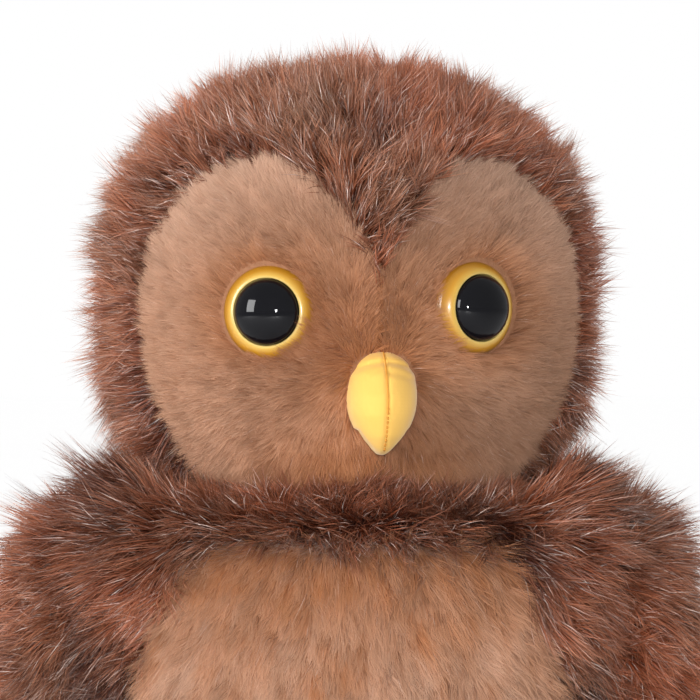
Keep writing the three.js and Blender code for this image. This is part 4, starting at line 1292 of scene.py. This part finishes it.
def wing(side, name):
    faces = pad_faces(WING_RINGS, len(WING_LOOP))
    pad = add_solid(f"wing_cloth_{name}", wing_points(side), faces, BROWN_BACKING)
    seam_x = body_side(*WING_LOOP.mean(axis=0)) + WING_GAP + 1 * MM
    puff(pad, 3 * MM, 1.5 * MM, lambda p: side * p[:, 0] < seam_x)
    stand_in(pad, f"wing_{name}", f"wing_{name}")
    rng = np.random.default_rng(101 + side)

    def keep(points, normals):
        return (normals[:, 0] * side > -0.25) | (rng.random(len(points)) < 0.5)

    def inner_face(points):
        return side * points[:, 0] < body_side(points[:, 1], points[:, 2]) + 4 * MM

    points, normals = scatter(pad, 3.4, rng, keep)
    fall = (points[:, 2] - 145 * MM) * 1.1
    comb = np.stack([points[:, 0] * 0.8, points[:, 1] * 0.4 + 10 * MM, fall], axis=1)
    style = brown_style(111 + side, 11.5 * MM, 0.8, 0.5, inner_face)
    grow(f"wing_fur_{name}", points, normals, comb, style, brown_palette(body_dark), LONG_FUR,
         riding(f"wing_{name}"))


def ellipsoid(name, centre, radii, tilt, material, shape=None, around=48, up=28):
    """A closed ellipsoid, tilted about X. shape(directions) can reshape it before that."""
    a = circle(around)
    rings = []
    for h in np.linspace(-math.pi / 2 + 0.04, math.pi / 2 - 0.04, up):
        d = oval(math.cos(h), math.cos(h), math.sin(h), a)
        rings.append(d * radii if shape is None else shape(d) * radii)
    c, s = math.cos(tilt), math.sin(tilt)
    verts = np.concatenate(rings) @ np.array([[1, 0, 0], [0, c, s], [0, -s, c]]) + centre
    return add_solid(name, verts, capped_faces(up, around), material)


def tail():
    low, high = box_of("tail")
    centre = (low + high) / 2
    radii = np.array([(high[0] - low[0]) / 2 + 1 * MM, (high[1] - low[1]) / 2 + 4 * MM, 5.5 * MM])
    pad = ellipsoid("tail_cloth", centre + np.array([0, -3 * MM, 0]), radii, 0.35, BROWN_BACKING)
    puff(pad, 3 * MM, 1.5 * MM)
    stand_in(pad, "tail", "torso")
    rng = np.random.default_rng(121)
    points, normals = scatter(pad, 3.2, rng, lambda p, n: p[:, 1] > centre[1] - 10 * MM)
    comb = np.stack([points[:, 0] * 0.5, np.full(len(points), 40 * MM), np.zeros(len(points))], axis=1)
    style = {**LONG_PILE, "seed": 122, "length": 11 * MM, "width": 0.25 * MM, "lean": 1.0, "stray": 0.3}
    grow("tail_fur", points, normals, comb, style, brown_palette(body_dark), LONG_FUR,
         riding("torso"))


TOE_SEAMS = (-0.36, 0.36)
FOOT_RADII = np.array([16.6, 21, 8.4]) * MM
FOOT_Y = -52 * MM


def foot(name):
    """A stuffed cloth foot with a flat sole. Two seams pulled in over its front make three toes."""
    low, high = box_of(f"foot_{name}")
    centre = np.array([(low[0] + high[0]) / 2, FOOT_Y, (low[2] + high[2]) / 2 + 0.2 * MM])

    def seam_depth(points):
        """How near each point is to a toe seam, 0 to 1. The seams start half way back and fan out."""
        local = (points - centre) / FOOT_RADII
        forward = np.clip(-local[:, 1] - 0.1, 0, 1)
        near = [bell(local[:, 0], share * (0.7 + 0.3 * forward), 0.06) for share in TOE_SEAMS]
        return np.max(near, axis=0) * np.minimum(1, forward * 3)

    def toes(d):
        pull = 0.16 * seam_depth(d * FOOT_RADII + centre)[:, None]
        return d * (1 - pull * np.array([0, 1, 1.4]))

    pad = ellipsoid(f"foot_cloth_{name}", centre, FOOT_RADII, 0.0, CLOTH, toes, 144, 56)
    puff(pad, 1.3 * MM, 1.6 * MM, lambda p: (seam_depth(p) > 0.6) | (p[:, 2] < low[2] + 1.2 * MM))
    points = points_of(pad.data)
    points[:, 2] = np.maximum(points[:, 2], low[2])
    set_points(pad, points)
    stand_in(pad, f"foot_{name}", "torso")
    threads = []
    for share in TOE_SEAMS:
        t = np.linspace(0.25, 1.45, 15)
        for start, end in zip(t[::2], t[1::2]):
            threads.append(toe_stitch(centre, share, start, end))
    add_solid(f"foot_thread_{name}", *merged(threads), THREAD, "torso")


def toe_stitch(centre, share, start, end):
    """One stitch along a toe seam, between two angles up over the foot's front."""
    line = []
    for angle in np.linspace(start, end - 0.03, 4):
        forward = math.cos(angle)
        x = share * (0.7 + 0.3 * max(forward - 0.1, 0))
        rest = math.sqrt(1 - x * x) * 0.88
        line.append(centre + FOOT_RADII * np.array([x, -rest * forward, rest * 0.94 * math.sin(angle)]))
    return tube(np.array(line), 0.3 * MM)


# ---- Plain parts of the frame ----

# Roughness of each material slot whose CAD nodes stay in the model.
SLOT_ROUGHNESS = {"white_plastic": 0.42, "grey_plastic": 0.5, "dark_plastic": 0.45, "gear_plastic": 0.35,
                  "steel": 0.28, "board_green": 0.4, "cell_jacket": 0.3, "wire_red": 0.5}


def dress_frame():
    """Gives each CAD node that stays a material of its own slot."""
    record = frame["record"]
    colours = {m["slot"]: m["base_color"][:3] for m in record["materials"]}
    slots = {s["node"]: s["material_slot"] for s in record["subparts"]}
    made = {}
    for node, obj in frame["nodes"].items():
        slot = slots[node]
        if slot not in SLOT_ROUGHNESS:
            continue
        if slot not in made:
            metallic = 1.0 if slot == "steel" else 0.0
            made[slot] = moulded_plastic(f"frame_{slot}", colours[slot], SLOT_ROUGHNESS[slot], metallic)
        obj.data.materials.clear()
        obj.data.materials.append(made[slot])


# ---- Studio ----

CAMERA_DISTANCE = 1.1
FRAME_WIDTH = 0.1834
LOOK_Z = 0.180
FLOOR_SIZE = 30
ROOM_LIGHT = 0.5
FLOOR_GLOW = 0.55


def glowing_paper():
    """The floor's pale paper. Seen by the camera it glows a little, so it fades into the white room."""
    material, nodes, links, shader = principled("floor_paper", Roughness=0.9)
    two_tones(nodes, links, shader, noise_node(nodes, links, 3), (0.86, 0.86, 0.86), (0.9, 0.9, 0.9))
    path = add_node(nodes, "LightPath")
    glow = add_node(nodes, "Math")
    glow.operation = "MULTIPLY"
    glow.inputs[1].default_value = FLOOR_GLOW
    links.new(path.outputs["Is Camera Ray"], glow.inputs[0])
    links.new(glow.outputs["Value"], shader.inputs["Emission Strength"])
    shader.inputs["Emission Color"].default_value = (1, 1, 1, 1)
    return material


def studio():
    """A wide pale floor under a white room, lit softly from the front and above."""
    half = FLOOR_SIZE / 2
    corners = [(-half, -half, 0), (half, -half, 0), (half, half, 0), (-half, half, 0)]
    add_mesh("floor", corners, [(0, 1, 2, 3)], glowing_paper())
    world = bpy.data.worlds.new("studio")
    world.use_nodes = True
    nodes, links = world.node_tree.nodes, world.node_tree.links
    path = add_node(nodes, "LightPath")
    strength = add_node(nodes, "MapRange", To_Min=ROOM_LIGHT, To_Max=1.0)
    links.new(path.outputs["Is Camera Ray"], strength.inputs["Value"])
    nodes["Background"].inputs["Color"].default_value = (1, 1, 1, 1)
    links.new(strength.outputs["Result"], nodes["Background"].inputs["Strength"])
    bpy.context.scene.world = world
    lamp("flash", (0.03, -1.2, 0.24), (0, 0, 0.17), 0.07, 7)
    lamp("window", (-1.2, -0.8, 0.5), (0, 0, 0.15), 0.5, 15)
    lamp("back_fill", (0.2, 1.0, 1.2), (0, 0, 0.12), 1.0, 10)
    bpy.context.scene.view_settings.view_transform = "Standard"


def lamp(name, place, target, size, power):
    light = bpy.data.lights.new(name, "AREA")
    light.shape = "RECTANGLE"
    light.size, light.size_y = size, size * 1.2
    light.energy = power
    obj = bpy.data.objects.new(name, light)
    obj.location = place
    obj.rotation_euler = (Vector(target) - Vector(place)).to_track_quat("-Z", "Y").to_euler()
    bpy.context.scene.collection.objects.link(obj)


def camera():
    data = bpy.data.cameras.new("camera")
    data.lens = data.sensor_width * CAMERA_DISTANCE / FRAME_WIDTH
    obj = bpy.data.objects.new("camera", data)
    obj.location = (0, -CAMERA_DISTANCE, LOOK_Z)
    obj.rotation_euler = (math.pi / 2, 0, 0)
    bpy.context.scene.collection.objects.link(obj)
    bpy.context.scene.camera = obj


# ---- Assembly ----

head_shell = head_skin()
head_fur(head_shell)
amber_material, black_material = eye_amber(), pupil_black()
for side_name, direction in SIDES.items():
    disc_piece = face_disc(direction, side_name)
    disc_fur(disc_piece, direction, side_name)
    eye(side_name, direction, amber_material, black_material)
    wing(direction, side_name)
    foot(side_name)
beak()
body_shell = body_skin()
body_fur(body_shell)
belly_fur(belly())
collar()
tail()
dress_frame()
studio()
camera()
